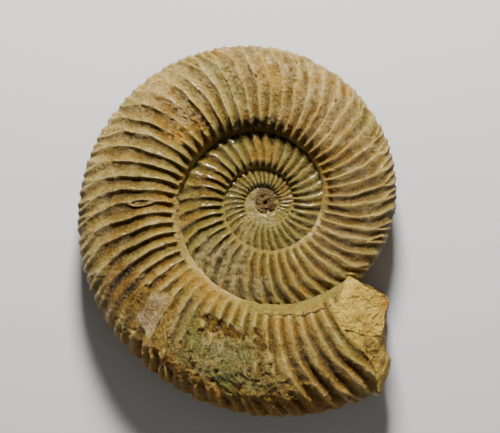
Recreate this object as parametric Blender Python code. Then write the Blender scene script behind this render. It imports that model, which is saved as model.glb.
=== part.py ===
"""A coiled, ribbed ammonite fossil that lies on its flank, as one solid of shell and stone.

The shell is a tube wound in a flat spiral. A place on it is given by its rib number, which
grows along the spiral, and by its share of the flank, which runs from 0 at the umbilical seam,
where the whorl rests on the one before, to 1 at the middle of the outer edge.
Angles are in degrees, turn counter-clockwise seen from above, and go on growing whorl by whorl:
the last whorl runs from about -45 to 317. Lengths are in metres.
"""

import math

import bmesh
import bpy
import numpy as np
from mathutils import Matrix, Vector, noise

MM = 0.001
WHORL = 360.0

# Coil: radii at angle 0 and how much they grow in a whorl
VENTER_RADIUS = 52.5 * MM
VENTER_GROWTH = 1.87
MID_WHORL_SWELL = 0.038
SWELL_CENTRE = 170.0
SWELL_HALF_SPAN = 125.0
SEAM_RADIUS = 22.7 * MM
SEAM_GROWTH = 2.14
FIRST_ANGLE = -1060.0

# Whorl section: half its breadth at the mouth, and the form of its flanks
MOUTH_ANGLE = 300.0
MOUTH_HALF_BREADTH = 21.0 * MM
BREADTH_GROWTH = 1.80
WIDEST_SHARE = 0.28
SEAM_TUCK = 0.014
VENTER_ROUNDNESS = 2.4
SHOULDER_ROUNDNESS = 2.6

# Ribs: their spacing along the coil, their height and the bend of their course
FIRST_RIB_ANGLE = -37.7
RIB_SPACING = 7.257
RIB_CROWDING = 0.0188
INNER_RIB_SPACING = 10.5
INNER_RIB_EASING = 14.0
RIB_HEIGHT = 1.7 * MM
SHOULDER_RIB_START = 0.02
SHOULDER_RIB_FULL = 0.12
SPLIT_SHARE = 0.66
SPLIT_LENGTH = 0.16
SMOOTH_CORE_ANGLE = -800.0
RIB_GROWTH_ANGLE = 90.0
SHOULDER_HOOK = 2.5
SHOULDER_HOOK_LENGTH = 0.06
RIB_SETBACK = 1.2
VENTER_LEAN = 7.5
LEAN_START = 0.2

# Mouth: the outline of the broken end seen from above, from the seam out to the outer edge
BREAK_OUTLINE = [
    (32.4 * MM, -30.2 * MM),
    (39.0 * MM, -31.9 * MM),
    (47.0 * MM, -35.6 * MM),
    (49.1 * MM, -39.9 * MM),
    (47.0 * MM, -47.9 * MM),
    (47.6 * MM, -52.9 * MM),
    (46.8 * MM, -62.6 * MM),
    (46.2 * MM, -72.4 * MM),
    (45.4 * MM, -76.9 * MM),
]
BREAK_FACE_X = 47.0 * MM
BREAK_CORNER_Y = -37.0 * MM
BREAK_BULGE = 2.8 * MM
BREAK_BULGE_Y = -62.0 * MM
BREAK_BULGE_SPAN = 11.0 * MM
BREAK_HALF_HEIGHT = 16.0 * MM
BREAK_ROWS = (0.22, 0.45, 0.68, 0.86)
BREAK_ROUGHNESS = 0.9 * MM
BREAK_GRAIN = 7.0 * MM
BREAK_SEED = 7.0
OUTLINE_ROUNDS = 12

# Stone facets at the mouth: a point on each plane, and its rise along X and along Y
STONE_FACETS = [
    ((31.5 * MM, -42.0 * MM, 20.2 * MM), -0.34, 0.05),
    ((38.0 * MM, -53.0 * MM, 18.6 * MM), -0.42, 0.22),
]
FACET_SEAM_ANGLE = 294.0

# Worn places on the shown flank: angle, share, half spans of both, ribs lost and depth
WORN_PLACES = [
    (253.0, 0.58, 23.0, 0.30, 0.85, 1.0 * MM),
    (220.0, 0.55, 6.5, 0.24, 0.90, 1.3 * MM),
    (130.0, 0.84, 14.0, 0.16, 0.55, 0.3 * MM),
    (126.0, 0.30, 4.0, 0.14, 0.50, 1.3 * MM),
]

# Rows of the mesh, as shares of the flank from seam to outer edge, and steps of its columns in ribs
SHOWN_ROWS = (0.0, 0.05, 0.13, 0.3, 0.55, 0.76, 0.9, 0.975, 1.0)
HIDDEN_ROWS = (0.0, 0.08, 0.25, 0.55, 0.8, 0.95, 1.0)
INNER_ROWS = (0.0, 0.15, 0.4, 0.75)
JOIN_RIB = -1.0
LAST_FULL_RIB = 52.5
OUTER_STEP = 0.25
INNER_STEP = 0.5
CORE_STEP = 1.5
CORE_RIB = -67.0
MOUTH_COLUMNS = 5
CORE_PIT_DEPTH = 1.6 * MM
JOIN_MARGIN = 0.05

# How it lies: the coil tips towards its thin side, and its lowest ribs are worn flat
REST_TIP = 2.85
REST_TIP_TOWARDS = 110.5
RIB_WEAR = 0.6 * MM

SHELL_COLOUR = (0.42, 0.29, 0.11, 1.0)
SHELL_ROUGHNESS = 0.5
UP = 1.0
DOWN = -1.0


def growth(start, per_whorl, angle):
    """A length that grows by the same factor every whorl."""
    return start * per_whorl ** (angle / WHORL)


def seam_radius(angle):
    return growth(SEAM_RADIUS, SEAM_GROWTH, angle)


def venter_radius(angle):
    across = (angle - SWELL_CENTRE) / SWELL_HALF_SPAN
    swell = MID_WHORL_SWELL * max(0.0, 1.0 - across * across)
    return growth(VENTER_RADIUS, VENTER_GROWTH, angle) * (1.0 + swell)


def half_breadth(angle):
    return growth(MOUTH_HALF_BREADTH, BREADTH_GROWTH, angle - MOUTH_ANGLE)


def covered_share(angle):
    """The share of the flank at which the next whorl's seam lies."""
    inner = seam_radius(angle)
    return (seam_radius(angle + WHORL) - inner) / (venter_radius(angle) - inner)


def smooth_step(value):
    value = min(1.0, max(0.0, value))
    return value * value * (3.0 - 2.0 * value)


def rib_angle(rib):
    """The angle at which a rib crosses the inner flank; ribs crowd towards the mouth."""
    if rib >= 0.0:
        return FIRST_RIB_ANGLE + RIB_SPACING * rib - RIB_CROWDING * rib * rib
    easing = (INNER_RIB_SPACING - RIB_SPACING) * INNER_RIB_EASING
    return FIRST_RIB_ANGLE + INNER_RIB_SPACING * rib + easing * (1.0 - math.exp(rib / INNER_RIB_EASING))


def rib_lean(share):
    """How far a rib's course runs ahead: a hook at the shoulder, then a forward sweep."""
    hook = SHOULDER_HOOK * math.exp(-share / SHOULDER_HOOK_LENGTH)
    sweep = max(0.0, share - LEAN_START) / (1.0 - LEAN_START)
    return hook - RIB_SETBACK + VENTER_LEAN * sweep * sweep


def shell_angle(rib, share):
    """The angle at which a rib crosses a share of the flank."""
    return rib_angle(rib) + rib_lean(share)


RIB_TABLE = np.arange(-110.0, 70.0, 0.05)
ANGLE_TABLE = np.array([rib_angle(rib) for rib in RIB_TABLE])


def rib_at(angle, share):
    """The rib number at an angle and a share of the flank."""
    return float(np.interp(angle - rib_lean(share), ANGLE_TABLE, RIB_TABLE))


def rib_groove(rib, share):
    """0 on a rib's crest and 1 in the groove; each rib splits in two on the outer flank."""
    off = abs(rib - round(rib))
    spread = 0.25 * smooth_step((share - SPLIT_SHARE) / SPLIT_LENGTH)
    between = (spread - off) / 0.25 if off < spread else (off - spread) / (0.5 - spread)
    return 1.0 - (1.0 - between) ** 2


def worn(angle, share, side):
    """How much of the ribs is left at a place, and how deep the surface is worn there."""
    left, depth = 1.0, 0.0
    if side == UP:
        for at_angle, at_share, half_angle, half_share, lost, deep in WORN_PLACES:
            away = ((angle - at_angle) / half_angle) ** 2 + ((share - at_share) / half_share) ** 2
            mask = math.exp(-away * away)
            left *= 1.0 - lost * mask
            depth += deep * mask
    return left, depth


def surface_point(angle, share, side):
    """A point of the ribbed shell."""
    inner, outer, breadth = seam_radius(angle), venter_radius(angle), half_breadth(angle)
    flank = outer - inner
    if share > WIDEST_SHARE:
        power, span, out = VENTER_ROUNDNESS, 1.0 - WIDEST_SHARE, 1.0
    else:
        power, span, out = SHOULDER_ROUNDNESS, WIDEST_SHARE + SEAM_TUCK, -1.0
    across = min(1.0, abs(share - WIDEST_SHARE) / span)
    height = (1.0 - across**power) ** (1.0 / power)
    radius = inner + share * flank
    normal = Vector((out * across ** (power - 1.0) / (span * flank), height ** (power - 1.0) / breadth))
    normal.normalize()
    left, depth = worn(angle, share, side)
    strength = smooth_step((share - SHOULDER_RIB_START) / (SHOULDER_RIB_FULL - SHOULDER_RIB_START))
    strength *= smooth_step((angle - SMOOTH_CORE_ANGLE) / RIB_GROWTH_ANGLE)
    groove = rib_groove(rib_at(angle, share), share) * strength * left
    depth += groove * growth(RIB_HEIGHT, BREADTH_GROWTH, angle - MOUTH_ANGLE)
    radius -= depth * normal.x
    rise = breadth * height - depth * normal.y
    turn = math.radians(angle)
    return Vector((radius * math.cos(turn), radius * math.sin(turn), side * rise))


def seam_point(angle, side):
    """A point of the umbilical seam, which lies on the flank of the whorl before."""
    before = angle - WHORL
    if before < FIRST_ANGLE:
        return surface_point(angle, 0.0, side)
    return surface_point(before, covered_share(before), side)


def outline_radius_and_angle():
    """The broken end's outline as radii and angles about the coil's axis."""
    radii = [math.hypot(x, y) for x, y in BREAK_OUTLINE]
    angles = [math.degrees(math.atan2(y, x)) + WHORL for x, y in BREAK_OUTLINE]
    return radii, angles


def mouth_angle(share):
    """The angle at which a row of the shell meets the broken end's outline."""
    radii, angles = outline_radius_and_angle()
    angle = MOUTH_ANGLE
    for _ in range(OUTLINE_ROUNDS):
        radius = seam_radius(angle) + share * (venter_radius(angle) - seam_radius(angle))
        angle = float(np.interp(radius, radii, angles))
    return angle


def cut_to_facets(point):
    """Lowers a point of the shown flank to the stone facets at the mouth."""
    for (x, y, z), along_x, along_y in STONE_FACETS:
        plane = z + along_x * (point.x - x) + along_y * (point.y - y)
        past_seam = math.hypot(point.x, point.y) > seam_radius(FACET_SEAM_ANGLE)
        if point.x > 0.0 and point.y < 0.0 and past_seam:
            point.z = min(point.z, plane)
    return point


def new_line(bm, points):
    return [bm.verts.new(point) for point in points]


def add_face(bm, corners):
    if len(set(corners)) == len(corners):
        bm.faces.new(corners)


def join_lines(bm, first, second, evenly=False):
    """Fills the strip between two lines of vertices that run side by side.

    It steps along the line whose next vertex is nearer, or evenly along both.
    """
    i = j = 0
    while i < len(first) - 1 or j < len(second) - 1:
        on_first = i < len(first) - 1
        if on_first and j < len(second) - 1:
            if evenly:
                on_first = (i + 1) * (len(second) - 1) <= (j + 1) * (len(first) - 1)
            else:
                ahead = (first[i + 1].co - second[j].co).length
                on_first = ahead <= (first[i].co - second[j + 1].co).length
        if on_first:
            add_face(bm, (first[i], first[i + 1], second[j]))
            i += 1
        else:
            add_face(bm, (first[i], second[j + 1], second[j]))
            j += 1


def join_columns(bm, columns):
    """Fills a grid given as columns of equal length."""
    for before, after in zip(columns, columns[1:]):
        for k in range(len(before) - 1):
            add_face(bm, (before[k], before[k + 1], after[k + 1], after[k]))


def loop_points(angle_of):
    """One section of the last whorl, from the shown seam over the outer edge to the hidden seam."""
    points = []
    for side, shares in ((UP, SHOWN_ROWS), (DOWN, HIDDEN_ROWS[-2::-1])):
        for share in shares:
            angle = angle_of(share)
            if share == 0.0:
                points.append(seam_point(angle, side))
            elif side == UP:
                points.append(cut_to_facets(surface_point(angle, share, side)))
            else:
                points.append(surface_point(angle, share, side))
    return points


def last_whorl_columns(bm):
    """The last whorl's sections, the final ones fanned out to the broken end."""
    count = int(round((LAST_FULL_RIB - JOIN_RIB) / OUTER_STEP))
    columns = []
    for k in range(count + 1):
        rib = JOIN_RIB + k * OUTER_STEP
        columns.append(new_line(bm, loop_points(lambda share: shell_angle(rib, share))))
    for k in range(1, MOUTH_COLUMNS + 1):
        part = k / MOUTH_COLUMNS

        def fanned(share):
            start = shell_angle(LAST_FULL_RIB, share)
            return start + part * (mouth_angle(share) - start)

        columns.append(new_line(bm, loop_points(fanned)))
    return columns


def inner_ribs():
    """The rib numbers of the inner whorls' columns, from the core to the last whorl's start."""
    first = rib_at(FIRST_ANGLE, 0.0)
    core = int(round((CORE_RIB - first) / CORE_STEP))
    ribs = [first + (CORE_RIB - first) * k / core for k in range(core)]
    ribs += list(np.arange(CORE_RIB, JOIN_RIB - 0.5 * INNER_STEP, INNER_STEP))
    return ribs


def inner_whorl_columns(bm, side):
    """The inner whorls' flank on one side, from each seam to just short of the next one."""
    columns = []
    for rib in inner_ribs():
        reach = covered_share(rib_angle(rib))
        points = [seam_point(shell_angle(rib, 0.0), side)]
        for row in INNER_ROWS[1:]:
            share = row * reach
            points.append(surface_point(shell_angle(rib, share), share, side))
        columns.append(new_line(bm, points))
    return columns


def close_core(bm, loop, side):
    """Closes the middle of the umbilicus with a shallow pit."""
    middle = sum((v.co for v in loop), Vector()) / len(loop)
    pit = bm.verts.new((0.0, 0.0, middle.z - side * CORE_PIT_DEPTH))
    for k, vertex in enumerate(loop):
        add_face(bm, (vertex, loop[(k + 1) % len(loop)], pit))


def add_inner_whorls(bm, loops, side):
    """Joins the inner whorls of one side to the last whorl's first section and its seam."""
    seam_index = 0 if side == UP else -1
    rows = SHOWN_ROWS if side == UP else HIDDEN_ROWS
    columns = inner_whorl_columns(bm, side)
    join_columns(bm, columns)
    start = loops[0] if side == UP else loops[0][::-1]
    reach = covered_share(shell_angle(JOIN_RIB, 1.0)) - JOIN_MARGIN
    shown = [vertex for vertex, share in zip(start, rows) if share < reach]
    join_lines(bm, columns[-1], shown)

    seam = [column[0] for column in columns] + [loop[seam_index] for loop in loops]
    edge = [column[-1] for column in columns] + [shown[-1]]
    first_turn = math.degrees(math.atan2(seam[0].co.y, seam[0].co.x))
    turned, turn_index = 0.0, 0
    while turned < WHORL:
        turn_index += 1
        here = math.degrees(math.atan2(seam[turn_index].co.y, seam[turn_index].co.x))
        turned += (here - first_turn + 180.0) % WHORL - 180.0
        first_turn = here
    outer_seam = seam[turn_index:]
    join_lines(bm, edge, outer_seam)
    close_core(bm, seam[: turn_index + 1] + columns[0][:0:-1], side)
    return start[len(shown) - 1 : len(rows)]


def break_point(rim, inner, part):
    """A point of the broken face, on its way from the shell's rim to the whorl before."""
    point = rim.lerp(inner, part)
    if rim.y > BREAK_CORNER_Y:
        return point
    bulge = math.exp(-(((point.y - BREAK_BULGE_Y) / BREAK_BULGE_SPAN) ** 2))
    bulge *= max(0.0, 1.0 - (point.z / BREAK_HALF_HEIGHT) ** 2)
    rough = noise.noise(Vector((point.y, point.z, BREAK_SEED * MM)) / BREAK_GRAIN)
    face = BREAK_FACE_X + BREAK_BULGE * bulge + BREAK_ROUGHNESS * rough
    back = min(1.0, max(0.0, (point.y - BREAK_CORNER_Y) / (inner.y - BREAK_CORNER_Y)))
    point.x = face + (inner.x - face) * back
    return point


def add_broken_end(bm, mouth, start):
    """Fills the broken stone face between the mouth and the whorl before."""
    lines = [mouth]
    places = np.linspace(0.0, len(start) - 1.0, len(mouth))
    for part in BREAK_ROWS:
        line = [mouth[0]]
        for row in range(1, len(mouth) - 1):
            low = min(int(places[row]), len(start) - 2)
            inner = start[low].co.lerp(start[low + 1].co, places[row] - low)
            line.append(bm.verts.new(break_point(mouth[row].co, inner, part)))
        lines.append(line + [mouth[-1]])
    lines.append(start)
    for outer, inner in zip(lines, lines[1:]):
        join_lines(bm, outer, inner, evenly=True)


def wear_flat(bm):
    """Cuts the lowest rib crests off level, which gives the flat spots that it rests on."""
    everything = bm.verts[:] + bm.edges[:] + bm.faces[:]
    cut = bmesh.ops.bisect_plane(
        bm, geom=everything, dist=1e-7, plane_co=(0, 0, 0), plane_no=(0, 0, -1), clear_outer=True
    )
    rim = [item for item in cut["geom_cut"] if isinstance(item, bmesh.types.BMEdge)]
    bmesh.ops.holes_fill(bm, edges=rim, sides=0)


def lay_down(bm):
    """Tips the coil to rest on its hidden flank and centres its foot on the origin."""
    towards = math.radians(REST_TIP_TOWARDS + 90.0)
    axis = Vector((math.cos(towards), math.sin(towards), 0.0))
    bm.transform(Matrix.Rotation(math.radians(REST_TIP), 4, axis))
    lowest = min(v.co.z for v in bm.verts)
    bmesh.ops.translate(bm, verts=bm.verts, vec=(0.0, 0.0, -lowest - RIB_WEAR))
    wear_flat(bm)
    xs, ys = [v.co.x for v in bm.verts], [v.co.y for v in bm.verts]
    middle = Vector(((min(xs) + max(xs)) / 2.0, (min(ys) + max(ys)) / 2.0, 0.0))
    bmesh.ops.translate(bm, verts=bm.verts, vec=-middle)


def shell_material():
    material = bpy.data.materials.new("ochre_fossil")
    material.use_nodes = True
    shader = material.node_tree.nodes["Principled BSDF"]
    shader.inputs["Base Color"].default_value = SHELL_COLOUR
    shader.inputs["Roughness"].default_value = SHELL_ROUGHNESS
    shader.inputs["Metallic"].default_value = 0.0
    return material


def make_ammonite(collection):
    bm = bmesh.new()
    loops = last_whorl_columns(bm)
    join_columns(bm, loops)
    shown_rest = add_inner_whorls(bm, loops, UP)
    hidden_rest = add_inner_whorls(bm, loops, DOWN)
    mouth = loops[-1]
    start = [mouth[0]] + shown_rest + hidden_rest[-2::-1] + [mouth[-1]]
    add_broken_end(bm, mouth, start)
    bmesh.ops.recalc_face_normals(bm, faces=bm.faces)
    lay_down(bm)
    bmesh.ops.triangulate(bm, faces=[f for f in bm.faces if len(f.verts) == 4])
    mesh = bpy.data.meshes.new("ammonite")
    bm.to_mesh(mesh)
    bm.free()
    mesh.materials.append(shell_material())
    ammonite = bpy.data.objects.new("ammonite", mesh)
    collection.objects.link(ammonite)
    return ammonite


def main():
    for old in list(bpy.data.objects):
        bpy.data.objects.remove(old, do_unlink=True)
    collection = bpy.data.collections.new("ammonite_fossil")
    bpy.context.scene.collection.children.link(collection)
    make_ammonite(collection)


main()
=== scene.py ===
"""Dresses the coiled ammonite fossil: ribbed whorls, worn and stained shell and broken stone.

A place on the shell is given by its rib number, which grows along the coil, and by its share of
the flank, which runs from 0 at the umbilical seam to 1 at the middle of the outer edge. Angles are
in degrees, turn counter-clockwise seen from above and go on growing whorl by whorl: the last whorl
runs from about -45 to 317. Lengths are in metres, and a matching size in the solid model has the
same value there.
"""

from __future__ import annotations

import logging
import math
from dataclasses import dataclass, field, fields, replace
from enum import Enum
from typing import Any, Dict, List, Mapping, Optional, Sequence, Tuple, Union

import bmesh
import bpy
import numpy as np
from mathutils import Matrix, Vector

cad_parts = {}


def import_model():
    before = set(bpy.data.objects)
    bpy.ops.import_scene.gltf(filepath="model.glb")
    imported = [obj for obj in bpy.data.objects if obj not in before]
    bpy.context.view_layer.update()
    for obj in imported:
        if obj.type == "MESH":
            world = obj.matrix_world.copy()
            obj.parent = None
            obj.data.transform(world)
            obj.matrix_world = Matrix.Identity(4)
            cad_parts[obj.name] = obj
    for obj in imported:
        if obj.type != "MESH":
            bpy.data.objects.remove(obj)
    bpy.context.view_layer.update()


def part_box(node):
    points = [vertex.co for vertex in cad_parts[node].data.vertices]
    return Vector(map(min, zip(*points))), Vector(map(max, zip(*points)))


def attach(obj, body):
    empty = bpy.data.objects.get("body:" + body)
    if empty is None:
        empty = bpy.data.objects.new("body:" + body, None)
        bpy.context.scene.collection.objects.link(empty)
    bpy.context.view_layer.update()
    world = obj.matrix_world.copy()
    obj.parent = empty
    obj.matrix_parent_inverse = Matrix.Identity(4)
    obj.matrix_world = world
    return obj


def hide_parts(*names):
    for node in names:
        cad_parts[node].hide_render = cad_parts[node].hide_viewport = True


LOG = logging.getLogger("ammonite")
MM = 0.001
WHORL = 360.0
BODY = "root"
NODE = "ammonite"
Point = Tuple[float, float]
Spot = Tuple[float, float, float]
Colour = Tuple[float, float, float]


class Signal:
    """A number on its way through a node tree; each operator on it adds a Math node."""

    def __init__(self, graph: "Graph", socket: bpy.types.NodeSocket) -> None:
        """Wraps a socket.

        Args:
            graph: the graph that the socket belongs to.
            socket: an output socket of one of its nodes.
        """
        self.graph = graph
        self.socket = socket

    def math(self, operation: str, *others: "Number") -> "Signal":
        """Adds a Math node that takes this number first."""
        return self.graph.math(operation, self, *others)

    def __add__(self, other: "Number") -> "Signal":
        """This number plus another."""
        return self.math("ADD", other)

    def __sub__(self, other: "Number") -> "Signal":
        """This number less another."""
        return self.math("SUBTRACT", other)

    def __rsub__(self, other: "Number") -> "Signal":
        """Another number less this one."""
        return self.graph.math("SUBTRACT", other, self)

    def __mul__(self, other: "Number") -> "Signal":
        """This number times another."""
        return self.math("MULTIPLY", other)

    def __truediv__(self, other: "Number") -> "Signal":
        """This number divided by another."""
        return self.math("DIVIDE", other)

    def __rtruediv__(self, other: "Number") -> "Signal":
        """Another number divided by this one."""
        return self.graph.math("DIVIDE", other, self)

    def __pow__(self, other: "Number") -> "Signal":
        """This number raised to another."""
        return self.math("POWER", other)

    __radd__ = __add__
    __rmul__ = __mul__


Number = Union[float, np.ndarray, Signal]


class Graph:
    """Adds nodes and links to one node tree."""

    def __init__(self, tree: bpy.types.NodeTree) -> None:
        """Wraps a node tree.

        Args:
            tree: a shader or geometry tree.
        """
        self.tree = tree

    def node(
        self,
        kind: str,
        inputs: Optional[Mapping[Any, Any]] = None,
        settings: Optional[Mapping[str, Any]] = None,
        output: Union[int, str] = 0,
    ) -> Signal:
        """Adds a node.

        Args:
            kind: the node's type.
            inputs: values or links, by socket name or index.
            settings: properties that are set first; points is a curve's list of (place, height).
            output: the socket to return.

        Returns:
            The chosen output.
        """
        node = self.tree.nodes.new(kind)
        for name, value in (settings or {}).items():
            if name == "points":
                self._set_points(node.mapping, value)
            else:
                setattr(node, name, value)
        for key, value in (inputs or {}).items():
            if isinstance(value, Signal):
                self.tree.links.new(value.socket, node.inputs[key])
            else:
                node.inputs[key].default_value = value
        return Signal(self, node.outputs[output])

    @staticmethod
    def _set_points(mapping: bpy.types.CurveMapping, points: Sequence[Point]) -> None:
        """Gives a curve straight runs between its points."""
        curve = mapping.curves[0]
        while len(curve.points) < len(points):
            curve.points.new(0.5, 0.5)
        for spot, (place, height) in zip(curve.points, points):
            spot.location = (place, height)
            spot.handle_type = "VECTOR"
        mapping.update()

    def math(self, operation: str, *operands: Number) -> Signal:
        """Adds a Math node over numbers and signals."""
        return self.node("ShaderNodeMath", dict(enumerate(operands)), {"operation": operation})

    def combine(self, x: Number, y: Number, z: Number) -> Signal:
        """Joins three numbers to a vector."""
        return self.node("ShaderNodeCombineXYZ", {0: x, 1: y, 2: z})

    def mix(self, share: Number, first: Any, second: Any) -> Signal:
        """Mixes two colours.

        Args:
            share: how much of the second colour.
            first: a colour or a link.
            second: a colour or a link.

        Returns:
            The mixed colour.
        """
        first, second = ((*c, 1.0) if isinstance(c, tuple) else c for c in (first, second))
        settings = {"data_type": "RGBA", "clamp_factor": True}
        return self.node("ShaderNodeMix", {0: share, 6: first, 7: second}, settings, output=2)

    def layered(self, base: Colour, layers: Sequence[Tuple[Signal, Colour]]) -> Any:
        """Lays colours over a base one after another, each with its own share."""
        for share, colour in layers:
            base = self.mix(share, base, colour)
        return base

    def ramp(self, value: Number, low: float, high: float) -> Signal:
        """A smooth rise from 0 at low to 1 at high."""
        inputs = {0: value, 1: low, 2: high, 3: 0.0, 4: 1.0}
        return self.node("ShaderNodeMapRange", inputs, {"interpolation_type": "SMOOTHSTEP"})


def clamp(value: Number) -> Number:
    """Holds a number between 0 and 1."""
    if isinstance(value, Signal):
        return value.math("MAXIMUM", 0.0).math("MINIMUM", 1.0)
    return np.clip(value, 0.0, 1.0)


def larger(first: Number, second: float) -> Number:
    """The larger of a number and a plain value."""
    return first.math("MAXIMUM", second) if isinstance(first, Signal) else np.maximum(first, second)


def smaller(first: Number, second: Number) -> Number:
    """The smaller of two numbers."""
    return first.math("MINIMUM", second) if isinstance(first, Signal) else np.minimum(first, second)


def exponential(value: Number) -> Number:
    """e raised to a number."""
    return value.math("EXPONENT") if isinstance(value, Signal) else np.exp(value)


def smooth_step(value: Number) -> Number:
    """A smooth rise from 0 to 1 as the value goes from 0 to 1."""
    value = clamp(value)
    return value * value * (3.0 - 2.0 * value)


def titled(name: str) -> str:
    """The name of the input that a field is given through."""
    return name.replace("_", " ").title()


def in_mm(*points: Point) -> Tuple[Point, ...]:
    """Places in plan that are given in millimetres."""
    return tuple((x * MM, y * MM) for x, y in points)


def add_object(name: str, data: bpy.types.ID) -> bpy.types.Object:
    """Adds an object for a mesh, a camera or a lamp to the scene."""
    added = bpy.data.objects.new(name, data)
    bpy.context.scene.collection.objects.link(added)
    return added


@dataclass(frozen=True)
class Coil:
    """The laws of the spiral. They work on plain numbers, arrays and signals alike."""

    venter_radius: Number = 52.5 * MM
    venter_growth: Number = 1.87
    swell: Number = 0.038
    swell_centre: Number = 170.0
    swell_half_span: Number = 125.0
    seam_radius: Number = 22.7 * MM
    seam_growth: Number = 2.14
    mouth_angle: Number = 300.0
    mouth_half_breadth: Number = 21.0 * MM
    breadth_growth: Number = 1.80
    first_rib_angle: Number = -37.7
    rib_spacing: Number = 7.257
    rib_crowding: Number = 0.0188
    inner_rib_spacing: Number = 10.5
    inner_rib_easing: Number = 14.0
    rib_height: Number = 1.7 * MM
    shoulder_hook: Number = 2.5
    shoulder_hook_length: Number = 0.06
    rib_setback: Number = 1.2
    venter_lean: Number = 7.5
    lean_start: Number = 0.2

    @staticmethod
    def growth(start: Number, per_whorl: Number, angle: Number) -> Number:
        """A length that grows by the same factor every whorl."""
        return start * per_whorl ** (angle / WHORL)

    def seam(self, angle: Number) -> Number:
        """The radius of the umbilical seam at an angle."""
        return self.growth(self.seam_radius, self.seam_growth, angle)

    def venter(self, angle: Number) -> Number:
        """The radius of the outer edge at an angle."""
        across = (angle - self.swell_centre) / self.swell_half_span
        swollen = larger(1.0 - across * across, 0.0) * self.swell + 1.0
        return self.growth(self.venter_radius, self.venter_growth, angle) * swollen

    def half_breadth(self, angle: Number) -> Number:
        """Half the thickness of the whorl at an angle."""
        return self.growth(self.mouth_half_breadth, self.breadth_growth, angle - self.mouth_angle)

    def rib_relief(self, angle: Number) -> Number:
        """How deep the grooves between the ribs are at an angle."""
        return self.growth(self.rib_height, self.breadth_growth, angle - self.mouth_angle)

    def rib_angle(self, rib: Number) -> Number:
        """The angle at which a rib crosses the inner flank; ribs crowd towards the mouth."""
        late = larger(rib, 0.0)
        early = smaller(rib, 0.0)
        easing = (self.inner_rib_spacing - self.rib_spacing) * self.inner_rib_easing
        late_part = late * self.rib_spacing - late * late * self.rib_crowding
        early_part = early * self.inner_rib_spacing
        eased = easing * (1.0 - exponential(early / self.inner_rib_easing))
        return late_part + early_part + eased + self.first_rib_angle

    def rib_lean(self, share: Number) -> Number:
        """How far a rib's course runs ahead: a hook at the shoulder, then a forward sweep."""
        hook = self.shoulder_hook * exponential(-1.0 * share / self.shoulder_hook_length)
        sweep = larger(share - self.lean_start, 0.0) / (1.0 - self.lean_start)
        return hook - self.rib_setback + self.venter_lean * sweep * sweep

    def rib_at(self, angle: np.ndarray, share: np.ndarray) -> np.ndarray:
        """The rib number at an angle of the last whorl and a share of the flank.

        Args:
            angle: angles of the last whorl.
            share: shares of the flank.

        Returns:
            The rib numbers there.
        """
        ahead = angle - self.rib_lean(share) - self.first_rib_angle
        root = np.sqrt(self.rib_spacing**2 - 4.0 * self.rib_crowding * ahead)
        return (self.rib_spacing - root) / (2.0 * self.rib_crowding)

    def share_at(self, angle: np.ndarray, radius: np.ndarray) -> np.ndarray:
        """The share of the flank at an angle and a radius."""
        inner = self.seam(angle)
        return (radius - inner) / (self.venter(angle) - inner)


@dataclass(frozen=True)
class Mouth:
    """Where the last whorl is broken off: the outline of the break seen from above.

    Every course of the whorl's surface ends between the two ribs.
    """

    outline: Tuple[Point, ...] = in_mm(
        (32.4, -30.2), (39.0, -31.9), (47.0, -35.6), (49.1, -39.9), (47.0, -47.9), (45.6, -52.9),
        (44.6, -62.6), (44.8, -72.4), (45.4, -76.9),
    )
    between_ribs: Point = (45.0, 60.0)
    first_guess: float = 300.0
    rounds: int = 12
    steps: int = 25

    def angle(self, coil: Coil, share: float) -> float:
        """The angle at which a share of the flank meets the break.

        Args:
            coil: the spiral's laws.
            share: the share of the flank.

        Returns:
            The angle there.
        """
        radii = [math.hypot(x, y) for x, y in self.outline]
        angles = [math.degrees(math.atan2(y, x)) + WHORL for x, y in self.outline]
        angle = self.first_guess
        for _ in range(self.rounds):
            inner = coil.seam(angle)
            radius = inner + share * (coil.venter(angle) - inner)
            angle = float(np.interp(radius, radii, angles))
        return angle

    def last_ribs(self, coil: Coil) -> List[Point]:
        """The rib number at which each share of the flank ends, as (share, rib) pairs."""
        shares = np.linspace(0.0, 1.0, self.steps)
        return [(s, float(coil.rib_at(self.angle(coil, s), s))) for s in shares]


@dataclass(frozen=True)
class Section:
    """The form of a whorl's flanks, and how the ribs cross them."""

    widest_share: float = 0.28
    seam_tuck: float = 0.014
    venter_roundness: float = 2.4
    shoulder_roundness: float = 2.6
    rib_full: float = 0.06
    split_share: float = 0.76
    split_length: float = 0.17
    split_scatter: float = 0.12
    simple_ribs: float = 0.18
    fork_spread: float = 0.25
    fork_depth: float = 0.52
    rib_skew: float = 0.16
    thinness: float = 0.30
    thin_ribs_at: float = 65.0
    thin_ribs_span: float = 150.0
    thin_ribs_fade: float = 120.0
    softness: float = 0.25
    softer: float = 0.5
    soft_from: float = 0.50
    soft_over: float = 0.25
    sharp_ribs_from: float = -30.0
    sharp_ribs_span: float = 40.0
    venter_relief: float = 0.70
    venter_start: float = 0.62
    smooth_core_angle: float = -800.0
    core_ribs_grow: float = 90.0
    crest_round: float = 0.05
    height_scatter: float = 0.45
    height_cells: Point = (1.3, 2.2)
    wander: float = 0.30
    wander_cells: Point = (0.8, 3.0)


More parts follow.
